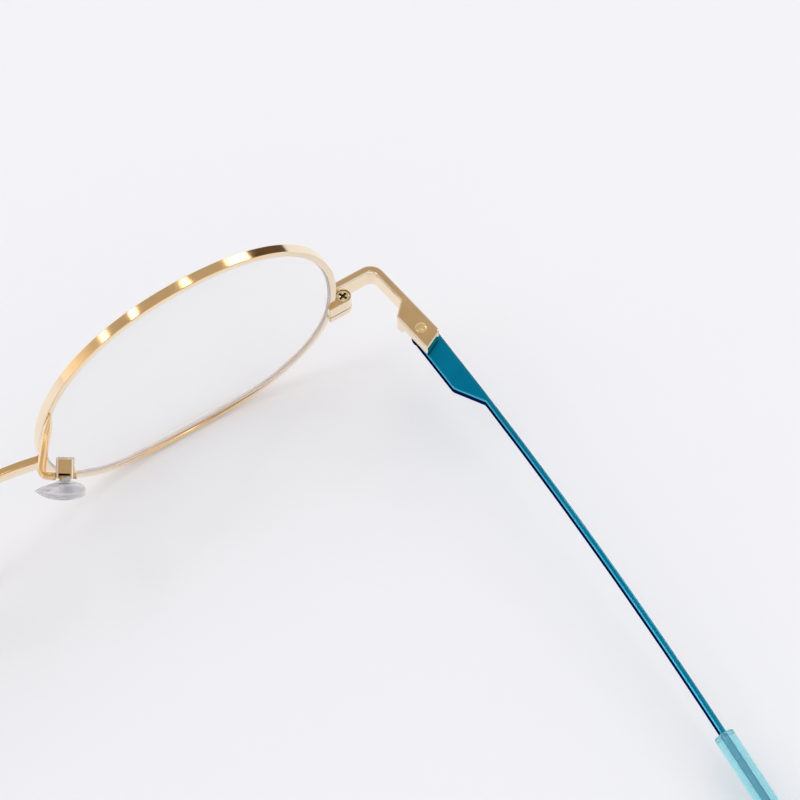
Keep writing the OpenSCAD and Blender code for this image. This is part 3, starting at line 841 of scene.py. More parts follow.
class ShaderGroups:
    """Effects that several finishes share; each puts out masks or heights only."""

    def __init__(self) -> None:
        """Builds the groups once."""
        self.smudge = self._smudge()
        self.scratch = self._scratch()
        self.grain = self._grain()

    @staticmethod
    def _new(
        name: str, inputs: dict[str, float], outputs: Sequence[str]
    ) -> tuple[bpy.types.NodeTree, bpy.types.NodeOutputs]:
        """Empty group with float sockets.

        Args:
            name: the group's name.
            inputs: value of each named input.
            outputs: names of the outputs.

        Returns:
            The group, and its inputs as sockets to link from.
        """
        group = bpy.data.node_groups.new(name, "ShaderNodeTree")
        for key, value in inputs.items():
            socket = group.interface.new_socket(key, in_out="INPUT", socket_type="NodeSocketFloat")
            socket.default_value = value
        for key in outputs:
            group.interface.new_socket(key, in_out="OUTPUT", socket_type="NodeSocketFloat")
        return group, group.nodes.new("NodeGroupInput").outputs

    @staticmethod
    def _noise(
        group: bpy.types.NodeTree,
        place: bpy.types.NodeSocket,
        size: bpy.types.NodeSocket,
        detail: float,
        roughness: float = 0.5,
    ) -> bpy.types.NodeSocket:
        """Noise over a place.

        Args:
            group: the group that gets the node.
            place: the coordinates.
            size: how fine it is.
            detail: how many finer layers it has.
            roughness: how much they weigh.

        Returns:
            The noise, from nought to one.
        """
        feeds = {"Vector": place, "Scale": size, "Detail": detail, "Roughness": roughness}
        return added(group, "ShaderNodeTexNoise", feeds).outputs["Fac"]

    def _smudge(self) -> bpy.types.NodeTree:
        """Soft cloudy mask, as of faint finger marks on a polished face.

        Returns:
            The group.
        """
        group, given = self._new("smudge", {"Size": 250.0, "Contrast": 2.0}, ("Mask",))
        place = group.nodes.new("ShaderNodeTexCoord").outputs["Object"]
        noise = self._noise(group, place, given["Size"], 5.0, 0.62)
        centred = maths(group, "SUBTRACT", noise, 0.5)
        mask = maths(group, "MULTIPLY_ADD", centred, given["Contrast"], 0.5, clamp=True)
        added(group, "NodeGroupOutput", {"Mask": mask})
        return group

    def _scratch(self) -> bpy.types.NodeTree:
        """Height of fine scratches that run mostly one way.

        Returns:
            The group.
        """
        inputs = {"Size": 900.0, "Stretch": 14.0, "Turn": 0.5}
        group, given = self._new("fine_scratches", inputs, ("Height",))
        place = group.nodes.new("ShaderNodeTexCoord").outputs["Object"]
        spin = added(group, "ShaderNodeCombineXYZ", {"Z": given["Turn"]}).outputs[0]
        squeeze = maths(group, "DIVIDE", 1.0, given["Stretch"])
        scale = added(group, "ShaderNodeCombineXYZ", {"X": 1.0, "Y": squeeze, "Z": 1.0}).outputs[0]
        feeds = {"Vector": place, "Rotation": spin, "Scale": scale}
        along = added(group, "ShaderNodeMapping", feeds).outputs[0]
        height = self._noise(group, along, given["Size"], 3.0)
        added(group, "NodeGroupOutput", {"Height": height})
        return group

    def _grain(self) -> bpy.types.NodeTree:
        """Height and mask of a fine even grain, as of blasted metal or moulded rubber.

        Returns:
            The group.
        """
        group, given = self._new("fine_grain", {"Size": 4000.0}, ("Height", "Mask"))
        place = group.nodes.new("ShaderNodeTexCoord").outputs["Object"]
        cells = added(group, "ShaderNodeTexVoronoi", {"Vector": place, "Scale": given["Size"]})
        mask = self._noise(group, place, given["Size"], 2.0)
        added(group, "NodeGroupOutput", {"Height": cells.outputs["Distance"], "Mask": mask})
        return group


def put(
    tree: bpy.types.NodeTree, group: bpy.types.NodeTree, values: dict[str, float]
) -> bpy.types.NodeOutputs:
    """Outputs of a group that is placed in a material with its own values."""
    return added(tree, "ShaderNodeGroup", values, node_tree=group).outputs


# Finishes


def blank_material(name: str) -> tuple[bpy.types.Material, bpy.types.NodeTree, bpy.types.Node]:
    """New material with a Principled shader wired to its output.

    Args:
        name: the material's name.

    Returns:
        The material, its tree and the shader.
    """
    material = bpy.data.materials.new(name)
    material.use_nodes = True
    tree = material.node_tree
    tree.nodes.clear()
    shader = tree.nodes.new("ShaderNodeBsdfPrincipled")
    added(tree, "ShaderNodeOutputMaterial", {"Surface": shader.outputs["BSDF"]})
    return material, tree, shader


def painted_by_angle(
    tree: bpy.types.NodeTree, tone: bpy.types.NodeSocket, painted_slant_tone: Rgb, reach: tuple[float, float]
) -> bpy.types.NodeSocket:
    """Painted light or shade: colour that goes over to another one where the surface turns away from the eye.

    Args:
        tree: the material's tree.
        tone: colour of a surface that faces the eye.
        painted_slant_tone: painted colour of a surface that is turned away, standing in for its light or
            shade.
        reach: shares of the turn at which the change begins and ends.

    Returns:
        The mixed colour.
    """
    facing = added(tree, "ShaderNodeLayerWeight", {"Blend": 0.5}).outputs["Facing"]
    return blended(tree, ranged(tree, facing, reach, (0.0, 1.0)), tone, painted_slant_tone)


def bumped(
    tree: bpy.types.NodeTree,
    shader: bpy.types.Node,
    height: bpy.types.NodeSocket,
    strength: float,
    depth: float,
) -> None:
    """Feeds a height into the shader's normal through a Bump node."""
    bump = added(tree, "ShaderNodeBump", {"Strength": strength, "Distance": depth, "Height": height})
    tree.links.new(bump.outputs["Normal"], shader.inputs["Normal"])


@dataclass(frozen=True)
class Finish:
    """What most finishes share: two tones and two roughnesses, blended by smudges."""

    name: str
    low: Rgb
    high: Rgb
    rough_low: float
    rough_high: float

    def begin(
        self, groups: ShaderGroups, size: float, contrast: float
    ) -> tuple[bpy.types.Material, bpy.types.NodeTree, bpy.types.Node, bpy.types.NodeSocket]:
        """Starts the material and sets its roughness.

        Args:
            groups: the shared shader groups.
            size: how fine the smudges are.
            contrast: how strong they are.

        Returns:
            The material, its tree, the shader, and the blend of the two tones.
        """
        material, tree, shader = blank_material(self.name)
        mask = put(tree, groups.smudge, {"Size": size, "Contrast": contrast})["Mask"]
        rough = ranged(tree, mask, (0.0, 1.0), (self.rough_low, self.rough_high), "LINEAR")
        tree.links.new(rough, shader.inputs["Roughness"])
        return material, tree, shader, blended(tree, mask, self.low, self.high)


@dataclass(frozen=True)
class PolishedMetal(Finish):
    """Polished plating with faint smudges and hair-fine scratches; an optional painted colour at a slant
    stands in for light or shade.
    """

    # Painted colour where the surface turns from the eye, standing in for light or shade there, and where
    # along the turn it takes over
    painted_slant_tone: Optional[Rgb] = None
    painted_slant_reach: tuple[float, float] = (0.2, 0.45)
    scratch: float = 0.05
    scratch_depth: float = 0.00002

    def build(self, groups: ShaderGroups) -> bpy.types.Material:
        """Makes the material.

        Args:
            groups: the shared shader groups.

        Returns:
            The material.
        """
        material, tree, shader, tone = self.begin(groups, size=260.0, contrast=2.4)
        shader.inputs["Metallic"].default_value = 1.0
        if self.painted_slant_tone is not None:
            tone = painted_by_angle(tree, tone, self.painted_slant_tone, self.painted_slant_reach)
        tree.links.new(tone, shader.inputs["Base Color"])
        lines = put(tree, groups.scratch, {"Size": 2600.0, "Stretch": 16.0, "Turn": 0.4})
        bumped(tree, shader, lines["Height"], self.scratch, self.scratch_depth)
        return material


@dataclass(frozen=True)
class AnodisedMetal(Finish):
    """Dyed anodised metal: a tinted satin metal with a fine blasted grain, with painted shade at a slant."""

    # Painted shade where the surface turns from the eye, and where along the turn it takes over
    painted_slant_tone: Rgb
    painted_slant_reach: tuple[float, float] = (0.2, 0.42)
    slant_tint: Rgb = (0.12, 0.25, 0.4)
    grain: float = 0.1
    grain_depth: float = 0.00002

    def build(self, groups: ShaderGroups) -> bpy.types.Material:
        """Makes the material.

        Args:
            groups: the shared shader groups.

        Returns:
            The material.
        """
        material, tree, shader, tone = self.begin(groups, size=140.0, contrast=1.8)
        shader.inputs["Metallic"].default_value = 1.0
        shader.inputs["Specular Tint"].default_value = (*self.slant_tint, 1)
        # Painted shade at a slant over the dyed colour
        tree.links.new(painted_by_angle(tree, tone, self.painted_slant_tone, self.painted_slant_reach), shader.inputs["Base Color"])
        grain = put(tree, groups.grain, {"Size": 9000.0})
        bumped(tree, shader, grain["Height"], self.grain, self.grain_depth)
        return material


@dataclass(frozen=True)
class ClearPlastic(Finish):
    """See-through tinted plastic or silicone with a faint moulded grain."""

    see_through: float
    ior: float
    grain: float
    grain_depth: float = 0.00003

    def build(self, groups: ShaderGroups) -> bpy.types.Material:
        """Makes the material.

        Args:
            groups: the shared shader groups.

        Returns:
            The material.
        """
        material, tree, shader, tone = self.begin(groups, size=180.0, contrast=1.6)
        shader.inputs["Metallic"].default_value = 0.0
        shader.inputs["IOR"].default_value = self.ior
        shader.inputs["Transmission Weight"].default_value = self.see_through
        tree.links.new(tone, shader.inputs["Base Color"])
        grain = put(tree, groups.grain, {"Size": 5000.0})
        bumped(tree, shader, grain["Mask"], self.grain, self.grain_depth)
        return material


@dataclass(frozen=True)
class TableTop(Finish):
    """Plain pale table, with a barely visible unevenness."""

    shine: float = 0.1

    def build(self, groups: ShaderGroups) -> bpy.types.Material:
        """Makes the material.

        Args:
            groups: the shared shader groups.

        Returns:
            The material.
        """
        material, tree, shader, tone = self.begin(groups, size=12.0, contrast=1.0)
        shader.inputs["Specular IOR Level"].default_value = self.shine
        tree.links.new(tone, shader.inputs["Base Color"])
        return material


@dataclass(frozen=True)
class LensGlass:
    """Clear spectacle lens with hardly visible wipe marks."""

    name: str
    tint: Rgb
    ior: float
    shine: float = 0.2
    wipe_marks: float = 0.015

    def build(self, groups: ShaderGroups) -> bpy.types.Material:
        """Makes the material.

        Args:
            groups: the shared shader groups.

        Returns:
            The material.
        """
        material, tree, shader = blank_material(self.name)
        shader.inputs["Base Color"].default_value = (*self.tint, 1)
        shader.inputs["IOR"].default_value = self.ior
        shader.inputs["Transmission Weight"].default_value = 1.0
        shader.inputs["Specular IOR Level"].default_value = self.shine
        mask = put(tree, groups.smudge, {"Size": 90.0, "Contrast": 1.5})["Mask"]
        rough = ranged(tree, mask, (0.0, 1.0), (0.0, self.wipe_marks), "LINEAR")
        tree.links.new(rough, shader.inputs["Roughness"])
        return material


class Finishes:
    """All finishes of the spectacles and of the table."""

    def __init__(self) -> None:
        """Builds the shared groups and every material."""
        groups = ShaderGroups()
        # Gold; its paler tone at a slant is a painted reflection of the pale table
        self.gold = PolishedMetal(
            "polished_gold", (0.90, 0.56, 0.255), (0.97, 0.63, 0.30), 0.07, 0.15, (1.0, 0.84, 0.615)
        ).build(groups)
        # Paler gold for rounded edges, a painted highlight, darker at a slant as painted shade
        self.gold_painted_highlight = PolishedMetal(
            "gold_edge_painted_highlight", (1.0, 0.86, 0.66), (1.0, 0.92, 0.76), 0.06, 0.12, (0.62, 0.38, 0.18)
        ).build(groups)
        # Dark gold for screw slots and crosses, a painted shade
        self.recess = PolishedMetal(
            "recess_painted_shade", (0.10, 0.06, 0.03), (0.17, 0.11, 0.06), 0.35, 0.5
        ).build(groups)
        self.pale_gold = PolishedMetal(
            "polished_pale_gold", (1.0, 0.74, 0.38), (1.0, 0.80, 0.46), 0.12, 0.26
        ).build(groups)
        self.steel = PolishedMetal(
            "bright_steel", (0.70, 0.71, 0.72), (0.80, 0.80, 0.81), 0.12, 0.25
        ).build(groups)
        self.satin_gold = PolishedMetal(
            "satin_gold", (1.0, 0.70, 0.34), (1.0, 0.77, 0.40), 0.2, 0.3
        ).build(groups)
        # Teal; its dark tone at a slant is painted shade on faces turned from the eye, such as the side walls
        self.teal = AnodisedMetal(
            "anodised_teal", (0.001, 0.24, 0.44), (0.006, 0.33, 0.54), 0.2, 0.28, (0.001, 0.03, 0.09)
        ).build(groups)
        # Paler teal for rounded edges, a painted highlight, darker at a slant as painted shade
        self.teal_painted_highlight = AnodisedMetal(
            "teal_edge_painted_highlight", (0.05, 0.50, 0.70), (0.12, 0.62, 0.80), 0.15, 0.22, (0.001, 0.03, 0.09)
        ).build(groups)
        self.aqua = ClearPlastic(
            "aqua_sleeve", (0.40, 0.88, 0.96), (0.46, 0.91, 0.98), 0.08, 0.16,
            see_through=0.82, ior=1.36, grain=0.04,
        ).build(groups)
        self.silicone = ClearPlastic(
            "clear_silicone", (0.90, 0.88, 0.92), (0.96, 0.95, 0.97), 0.16, 0.28,
            see_through=0.85, ior=1.36, grain=0.08,
        ).build(groups)
        self.nylon = ClearPlastic(
            "dark_nylon", (0.02, 0.02, 0.022), (0.04, 0.04, 0.042), 0.4, 0.55,
            see_through=0.0, ior=1.5, grain=0.1,
        ).build(groups)
        self.ground_edge = ClearPlastic(
            "ground_lens_edge", (0.94, 0.82, 0.74), (1.0, 0.93, 0.87), 0.35, 0.5,
            see_through=0.25, ior=1.5, grain=0.1,
        ).build(groups)
        self.glass = LensGlass("clear_lens", (0.998, 0.999, 0.999), ior=1.5).build(groups)
        self.table = TableTop(
            "pale_table", (0.885, 0.885, 0.91), (0.90, 0.90, 0.925), 0.6, 0.75
        ).build(groups)


# Sub-assemblies


class Workshop:
    """Tools and finishes that every sub-assembly uses, and the last step of each piece."""

    def __init__(self, stance: Stance, outline: RimOutline) -> None:
        """Gathers the trees and the finishes.

        Args:
            stance: how the spectacles lie.
            outline: the rim's outline.
        """
        self.stance = stance
        self.outline = outline
        self.sweep = SweepTree()
        self.screw = ScrewHeadTree()
        self.finish = Finishes()

    def place(
        self,
        mesh: bpy.types.Mesh,
        name: str,
        body: Body,
        node: str,
        slot: str,
        finish: bpy.types.Material,
        sides: Sequence[Side] = (Side.LEFT, Side.RIGHT),
        edge: Optional[bpy.types.Material] = None,
        shadow: bool = True,
    ) -> None:
        """Dresses a finished mesh, puts it on its body and lets it stand for its CAD node.

        Args:
            mesh: the left piece, in the world's frame.
            name: the piece's name, without its side.
            body: the moving group.
            node: the CAD node's name, without its side.
            slot: the record's material slot; not used.
            finish: the material.
            sides: the sides that get the piece.
            edge: material of the faces given the second place: painted highlights, painted shade in screw
                slots, a lens's ground edge.
            shadow: whether the piece throws a shadow; a clear lens hardly does.
        """
        for side in sides:
            data = mesh if side is Side.LEFT else mirrored(mesh)
            marks = [face.material_index for face in data.polygons]
            data.materials.clear()
            data.materials.append(finish)
            if edge is not None:
                data.materials.append(edge)
                data.polygons.foreach_set("material_index", marks)
            single = len(sides) == 1
            label = name if single else f"{name}_{side.value}"
            data.name = label
            obj = linked(label, data)
            obj.visible_shadow = shadow
            owner = "front" if body is Body.FRONT else f"{side.value}_{body.value}"
            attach(obj, owner)
            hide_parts(node if single else f"{side.value}_{node}")
            LOG.info("%s rides on %s, %d faces", label, owner, len(data.polygons))


@dataclass
class FrontFrame:
    """Bridge, rims and lenses."""

    shop: Workshop
    rim_w: float = 0.00095
    rim_d: float = 0.0015
    bevel: float = 0.00015
    groove_bevel: float = 0.00006
    groove_d: float = 0.00045
    groove_w: float = 0.0009
    split_depth: float = 0.00205
    split_w: float = 0.00016
    lens_t: float = 0.0014
    lens_r: float = 0.12
    lens_gap: float = 0.00003
    flange_t: float = 0.00044
    flange_w: float = 0.0002
    half_w: float = 0.0234852
    nose_gap: float = 0.021
    bridge_d: float = 0.0019
    bridge_h: float = 0.0012
    bridge_rise: float = 0.0059
    bow: float = 0.0009
    arch: float = 0.0008
    bridge_lap: float = 0.00035
    bridge_corner: float = 0.00022

    def build(self) -> None:
        """Builds the three kinds of piece."""
        self.rims()
        self.lenses()
        self.bridge()

    def rim_section(self) -> list[tuple[float, float]]:
        """Section of the rim wire: x outwards from the outer edge, y forwards from its back face.

        Returns:
            The section's points.
        """
        d, w, b = self.rim_d, self.rim_w, self.bevel
        mouth = (d - self.groove_w) / 2
        small = self.groove_bevel
        corners = [
            (0, 0, b), (0, -d, b), (-w, -d, small), (-w, -d + mouth, small * 0.6),
            (-w + self.groove_d, -d / 2, 0), (-w, -mouth, small * 0.6), (-w, 0, small),
        ]
        return [(p.x, p.y) for p in rounded(corners, 4)]

    def rims(self) -> None:
        """Rim wire with its lens groove, open at the split beside the lock."""
        step_deg = 1.25
        run = self.shop.outline.points(HAIR, step_deg)
        split_v = -(self.shop.stance.hinge_rise + self.split_depth)
        at = next(
            i for i, p in enumerate(run)
            if p.x > 0 and p.y <= split_v < run[(i + 1) % len(run)].y
        )
        a, b = run[at], run[(at + 1) % len(run)]
        cut = a.lerp(b, (split_v - a.y) / (b.y - a.y))
        along = (b - a).normalized() * (self.split_w / 2)
        path = [cut + along] + [run[(at + 1 + i) % len(run)] for i in range(len(run))] + [cut - along]
        path = [p for i, p in enumerate(path) if i in (0, len(path) - 1) or (p - cut).length > self.split_w]
        mesh = self.shop.sweep.run(path, self.rim_section(), self.shop.finish.gold)
        mesh = smooth(moved(mesh, self.shop.stance.lens_plane))
        self.shop.place(mesh, "rim_wire", Body.FRONT, "rim", "gold", self.shop.finish.gold)

    def lenses(self) -> None:
        """Lens with curved faces, an even thickness and an edge that sits in the groove."""
        mid_r = self.lens_r - self.lens_t / 2
        ball = self.rim_d / 2 + math.sqrt(mid_r ** 2 - self.half_w ** 2)
        points = self.shop.outline.points
        count, step_deg, seam = 16, 2.0, 0.0002
        edge = points(self.rim_w + self.lens_gap, step_deg)
        seat = points(self.rim_w - self.flange_w, step_deg)
        inner = points(self.rim_w + self.lens_gap + seam, step_deg)
        bm = bmesh.new()

        def skin(radius: float) -> list[list[bmesh.types.BMVert]]:
            """Rings of one face of the lens, from near its middle to its edge.

            Args:
                radius: radius of the face's curve.

            Returns:
                The vertices of each ring.
            """
            rings = []
            for k in range(1, count + 1):
                share = math.sin(math.pi / 2 * k / count)
                ring = []
                for p, q in zip(inner, edge):
                    x, y = (p.x * share, p.y * share) if k < count else (q.x, q.y)
                    ring.append(bm.verts.new((x, y, ball - math.sqrt(radius ** 2 - x * x - y * y))))
                rings.append(ring)
            return rings

        fore, back = skin(self.lens_r), skin(self.lens_r - self.lens_t)
        for rings, radius in ((fore, self.lens_r), (back, self.lens_r - self.lens_t)):
            pole = bm.verts.new((0, 0, ball - radius))
            join_rings(bm, [pole], rings[0])
            for a, b in zip(rings, rings[1:]):
                join_rings(bm, a, b)
        half = self.flange_t / 2
        bounds = []
        for z, other in ((-half, fore), (half, back)):
            wall = []
            for p, v in zip(edge, other[-1]):
                level = self.rim_d / 2 + z
                level = max(level, v.co.z + HAIR) if z < 0 else min(level, v.co.z - HAIR)
                wall.append(bm.verts.new((p.x, p.y, level)))
            lip = [bm.verts.new((p.x, p.y, self.rim_d / 2 + z * 0.5)) for p in seat]
            bounds.append((other[-1], wall, lip))
        clear = len(bm.faces)
        for skirt, wall, lip in bounds:
            join_rings(bm, skirt, wall)
            join_rings(bm, wall, lip)
        join_rings(bm, bounds[0][2], bounds[1][2])
        bm.faces.ensure_lookup_table()
        for face in bm.faces[clear:]:
            face.material_index = 1
        mesh = smooth(moved(to_mesh(bm, "lens"), self.shop.stance.lens_plane), sharp_deg=30, weighted=False)
        finish = self.shop.finish
        self.shop.place(mesh, "clear_lens", Body.FRONT, "lens", "lens", finish.glass,
                        edge=finish.ground_edge, shadow=False)

    def bridge(self) -> None:
        """Flat bar that bows forwards and up over the nose and ends inside both rims."""
        half = self.nose_gap / 2 - self.rim_w + self.groove_d + self.bridge_lap
        sag = math.hypot(self.bow, self.arch)
        radius = (half * half + sag * sag) / (2 * sag)
        sweep = math.degrees(math.asin(half / radius))
        tilt = math.degrees(math.atan2(self.arch, self.bow))
        steps = 96
        path = [(radius * math.cos(math.radians(a)), radius * math.sin(math.radians(a)), 0)
                for a in (-sweep + 2 * sweep * i / steps for i in range(steps + 1))]
        d, h, r = self.bridge_d / 2, self.bridge_h / 2, self.bridge_corner
        corners = [(d, h, r), (-d, h, r), (-d, -h, r), (d, -h, r)]
        turned = [Matrix.Rotation(math.radians(tilt), 2) @ p for p in rounded(corners, 5)]
        mesh = self.shop.sweep.run(path, turned, self.shop.finish.gold)
        stance = self.shop.stance
        to_nose = (
            stance.lying @ turn("X", stance.lean_deg) @ shift(0, 0, stance.hinge_rise) @ turn("X", 90)
            @ shift(0, -self.bridge_rise, self.bridge_d / 2) @ turn("X", tilt)
            @ shift(0, 0, radius - sag) @ turn("X", 90) @ turn("Z", -90)
        )
        mesh = smooth(moved(mesh, to_nose))
        self.shop.place(mesh, "bridge_bar", Body.FRONT, "bridge", "gold", self.shop.finish.gold,
                        sides=(Side.LEFT,))


@dataclass
class LockAndHinge:
    """Rim lock with its screw, the end piece, and the hinge pin."""

    shop: Workshop
    rim_edge: float = 0.0235802
    lock_off: float = 0.0020
    lock_back: float = 0.00085
    lock_r: float = 0.0012
    split_depth: float = 0.00205
    split_w: float = 0.00016
    lock_gap: float = 0.0002
    screw_d: float = 0.0012
    head_d: float = 0.00195
    head_h: float = 0.00045
    sunk: float = 0.00055
    full_h: float = 0.00304
    strip_t: float = 0.00112
    strip_fore: float = 0.00177
    strip_lap: float = 0.00065
    bend_r: float = 0.00225
    leaf_deg: float = 5.5
    leaf_in: float = 0.00152
    leaf_out: float = 0.00181
    leaf_t: float = 0.00165
    stop_fore: float = 0.0026
    neck_fore: float = 0.00547
    leaf_tail: float = 0.00336
    leaf_slant: float = 0.0013
    shoulder_len: float = 0.00105
    pin_d: float = 0.0014
    pin_head_d: float = 0.0017
    pin_head_h: float = 0.00015
    foot_h: float = 0.0002
    rim_w: float = 0.00095
    rim_d: float = 0.0015
    sink_gap: float = 0.00008
    bevel: float = 0.00012
    strip_bevel: float = 0.00022
    screw_bevel: float = 0.00005

    @property
    def lock_x(self) -> float:
        """Place of the lock screw across the face."""
        return self.shop.stance.lens_x + self.rim_edge + self.lock_off

    def build(self) -> None:
        """Builds the lock, the end piece and the pin."""
        self.lock()
        self.lock_screw()
        self.end_piece()
        self.pin()

    def lock_plan(self, front: float) -> list[Vector]:
        """Plan of a lock half: a block over the rim's back with a round outer end.

        Args:
            front: how far behind the hinge plane's origin its front face lies.

        Returns:
            The plan's points.
        """
        x0 = self.lock_x - self.lock_off - self.rim_w
        out = [Vector((x0, -front)), Vector((self.lock_x, -front))]
        out += arc_points(Vector((self.lock_x, -self.lock_back)), self.lock_r, 90, -180, 28)
        out.append(Vector((x0, -self.lock_back - self.lock_r)))
        return out

    def lock(self) -> None:
        """Upper and lower halves either side of the split."""
        lying, gold = self.shop.stance.lying, self.shop.finish.gold
        joint = self.strip_t - self.strip_fore
        axis = shift(self.lock_x, -self.lock_back, 0)
        bore = moved(rod(self.screw_d / 2 + PLAY, -THROUGH, THROUGH), axis)
        sink = moved(rod(self.head_d / 2 + self.sink_gap, -self.sunk, 0.001), axis)
        rim = prism(self.shop.outline.points(HAIR, 1.5), -THROUGH, self.rim_d - HAIR)
        rim = moved(rim, lying.inverted() @ self.shop.stance.lens_plane)
        upper = prism(self.lock_plan(joint + self.lock_gap), -self.split_depth + self.split_w / 2, 0)
        upper = carved(upper, [rim.copy(), bore.copy(), sink])
        upper = smooth(moved(softened(upper, self.bevel, banded=True), lying))
        # Rounded edges of both halves get the paler gold, a painted highlight
        edge = self.shop.finish.gold_painted_highlight
        self.shop.place(upper, "lock_upper_block", Body.FRONT, "lock_upper", "gold", gold, edge=edge)
        lower = prism(self.lock_plan(joint), -self.full_h, -self.split_depth - self.split_w / 2)
        lower = smooth(moved(softened(carved(lower, [rim, bore]), self.bevel, banded=True), lying))
        self.shop.place(lower, "lock_lower_block", Body.FRONT, "lock_lower", "gold", gold, edge=edge)

    def lock_screw(self) -> None:
        """Small screw with a cross recess, sunk in the upper half."""
        sizes = {
            "Head Radius": self.head_d / 2, "Head Height": self.head_h,
            "Shank Radius": self.screw_d / 2, "Shank Length": self.full_h - self.sunk,
            "Slot Length": self.head_d * 0.7, "Slot Width": self.head_d * 0.17,
            "Slot Depth": self.head_h * 0.8, "Slot Turn": math.radians(20),
        }
        finish = self.shop.finish
        mesh = self.shop.screw.run(sizes, 2, finish.pale_gold, self.screw_bevel)
        mesh = smooth(moved(mesh, self.shop.stance.lying @ shift(self.lock_x, -self.lock_back, -self.sunk)))
        # The cross recess gets the dark gold, a painted shade
        self.shop.place(mesh, "lock_screw_head", Body.FRONT, "lock_screw", "screw", finish.pale_gold,
                        edge=finish.recess)

    def leaf_corner(self, x: float, y: float, r: float) -> tuple[float, float, float]:
        """Corner of the turned leaf.

        Args:
            x: place across the leaf from the pin.
            y: place forwards along it.
            r: radius of the corner.

        Returns:
            The corner, for use in an outline.
        """
        a = math.radians(self.leaf_deg)
        stance = self.shop.stance
        return (stance.hinge_x + x * math.cos(a) - y * math.sin(a),
                -stance.hinge_back + x * math.sin(a) + y * math.cos(a), r)

    def leaf_x(self, x: float, y: float) -> float:
        """Place across the face of a line along the leaf.

        Args:
            x: the line's place across the leaf from the pin.
            y: place forwards at which it is wanted.

        Returns:
            The place across the face.
        """
        a = math.radians(self.leaf_deg)
        stance = self.shop.stance
        return stance.hinge_x + x / math.cos(a) - (y + stance.hinge_back) * math.tan(a)

    def end_piece(self) -> None:
        """Strip on edge that turns the corner and widens into the hinge leaf."""
        inner = self.strip_fore - self.strip_t
        start = self.lock_x - self.strip_lap
        plan = rounded([
            (start, inner, 0), (start, self.strip_fore, 0),
            (self.leaf_x(self.leaf_out, self.strip_fore), self.strip_fore, self.bend_r),
            self.leaf_corner(self.leaf_out, self.leaf_slant - self.leaf_tail, 0.001),
            self.leaf_corner(-self.leaf_in, -self.leaf_tail, 0.0003),
            self.leaf_corner(-self.leaf_in, self.stop_fore + self.shoulder_len, 0.0003),
            self.leaf_corner(self.leaf_out - self.strip_t, self.neck_fore, 0.0003),
            (self.leaf_x(self.leaf_out - self.strip_t, inner), inner, self.bend_r - self.strip_t),
        ])
        stance = self.shop.stance
        solid = prism(plan, -self.full_h, 0)
        half_cut = block((-0.015, -0.03, -self.full_h - 0.001), (0.015, self.stop_fore, -self.leaf_t))
        half_cut = moved(half_cut, shift(stance.hinge_x, -stance.hinge_back, 0) @ turn("Z", self.leaf_deg))
        solid = softened(solid, self.strip_bevel, weight=wider_on_top(0, rest=0.5), banded=True)
        solid = carved(solid, [half_cut])
        mesh = smooth(moved(solid, stance.lying))
        # Rounded edges get the paler gold, a painted highlight
        finish = self.shop.finish
        self.shop.place(mesh, "end_piece_strip", Body.FRONT, "end_piece", "gold", finish.gold,
                        edge=finish.gold_painted_highlight)

    def pin(self) -> None:
        """Hinge pin with a low domed head."""
        r, h = self.pin_head_d / 2, self.pin_head_h
        dome = [(r * math.cos(a), h * math.sin(a)) for a in (math.pi / 2 * i / 10 for i in range(10, -1, -1))]
        dome[0] = (0.0, h)
        shank = self.pin_d / 2
        foot = -self.full_h - self.foot_h
        profile = dome + [(r, -HAIR), (shank, -HAIR), (shank, foot), (0, foot)]
        mesh = smooth(moved(lathe(profile), self.shop.stance.hinge))
        self.shop.place(mesh, "hinge_pin_dome", Body.FRONT, "hinge_pin", "screw", self.shop.finish.satin_gold)


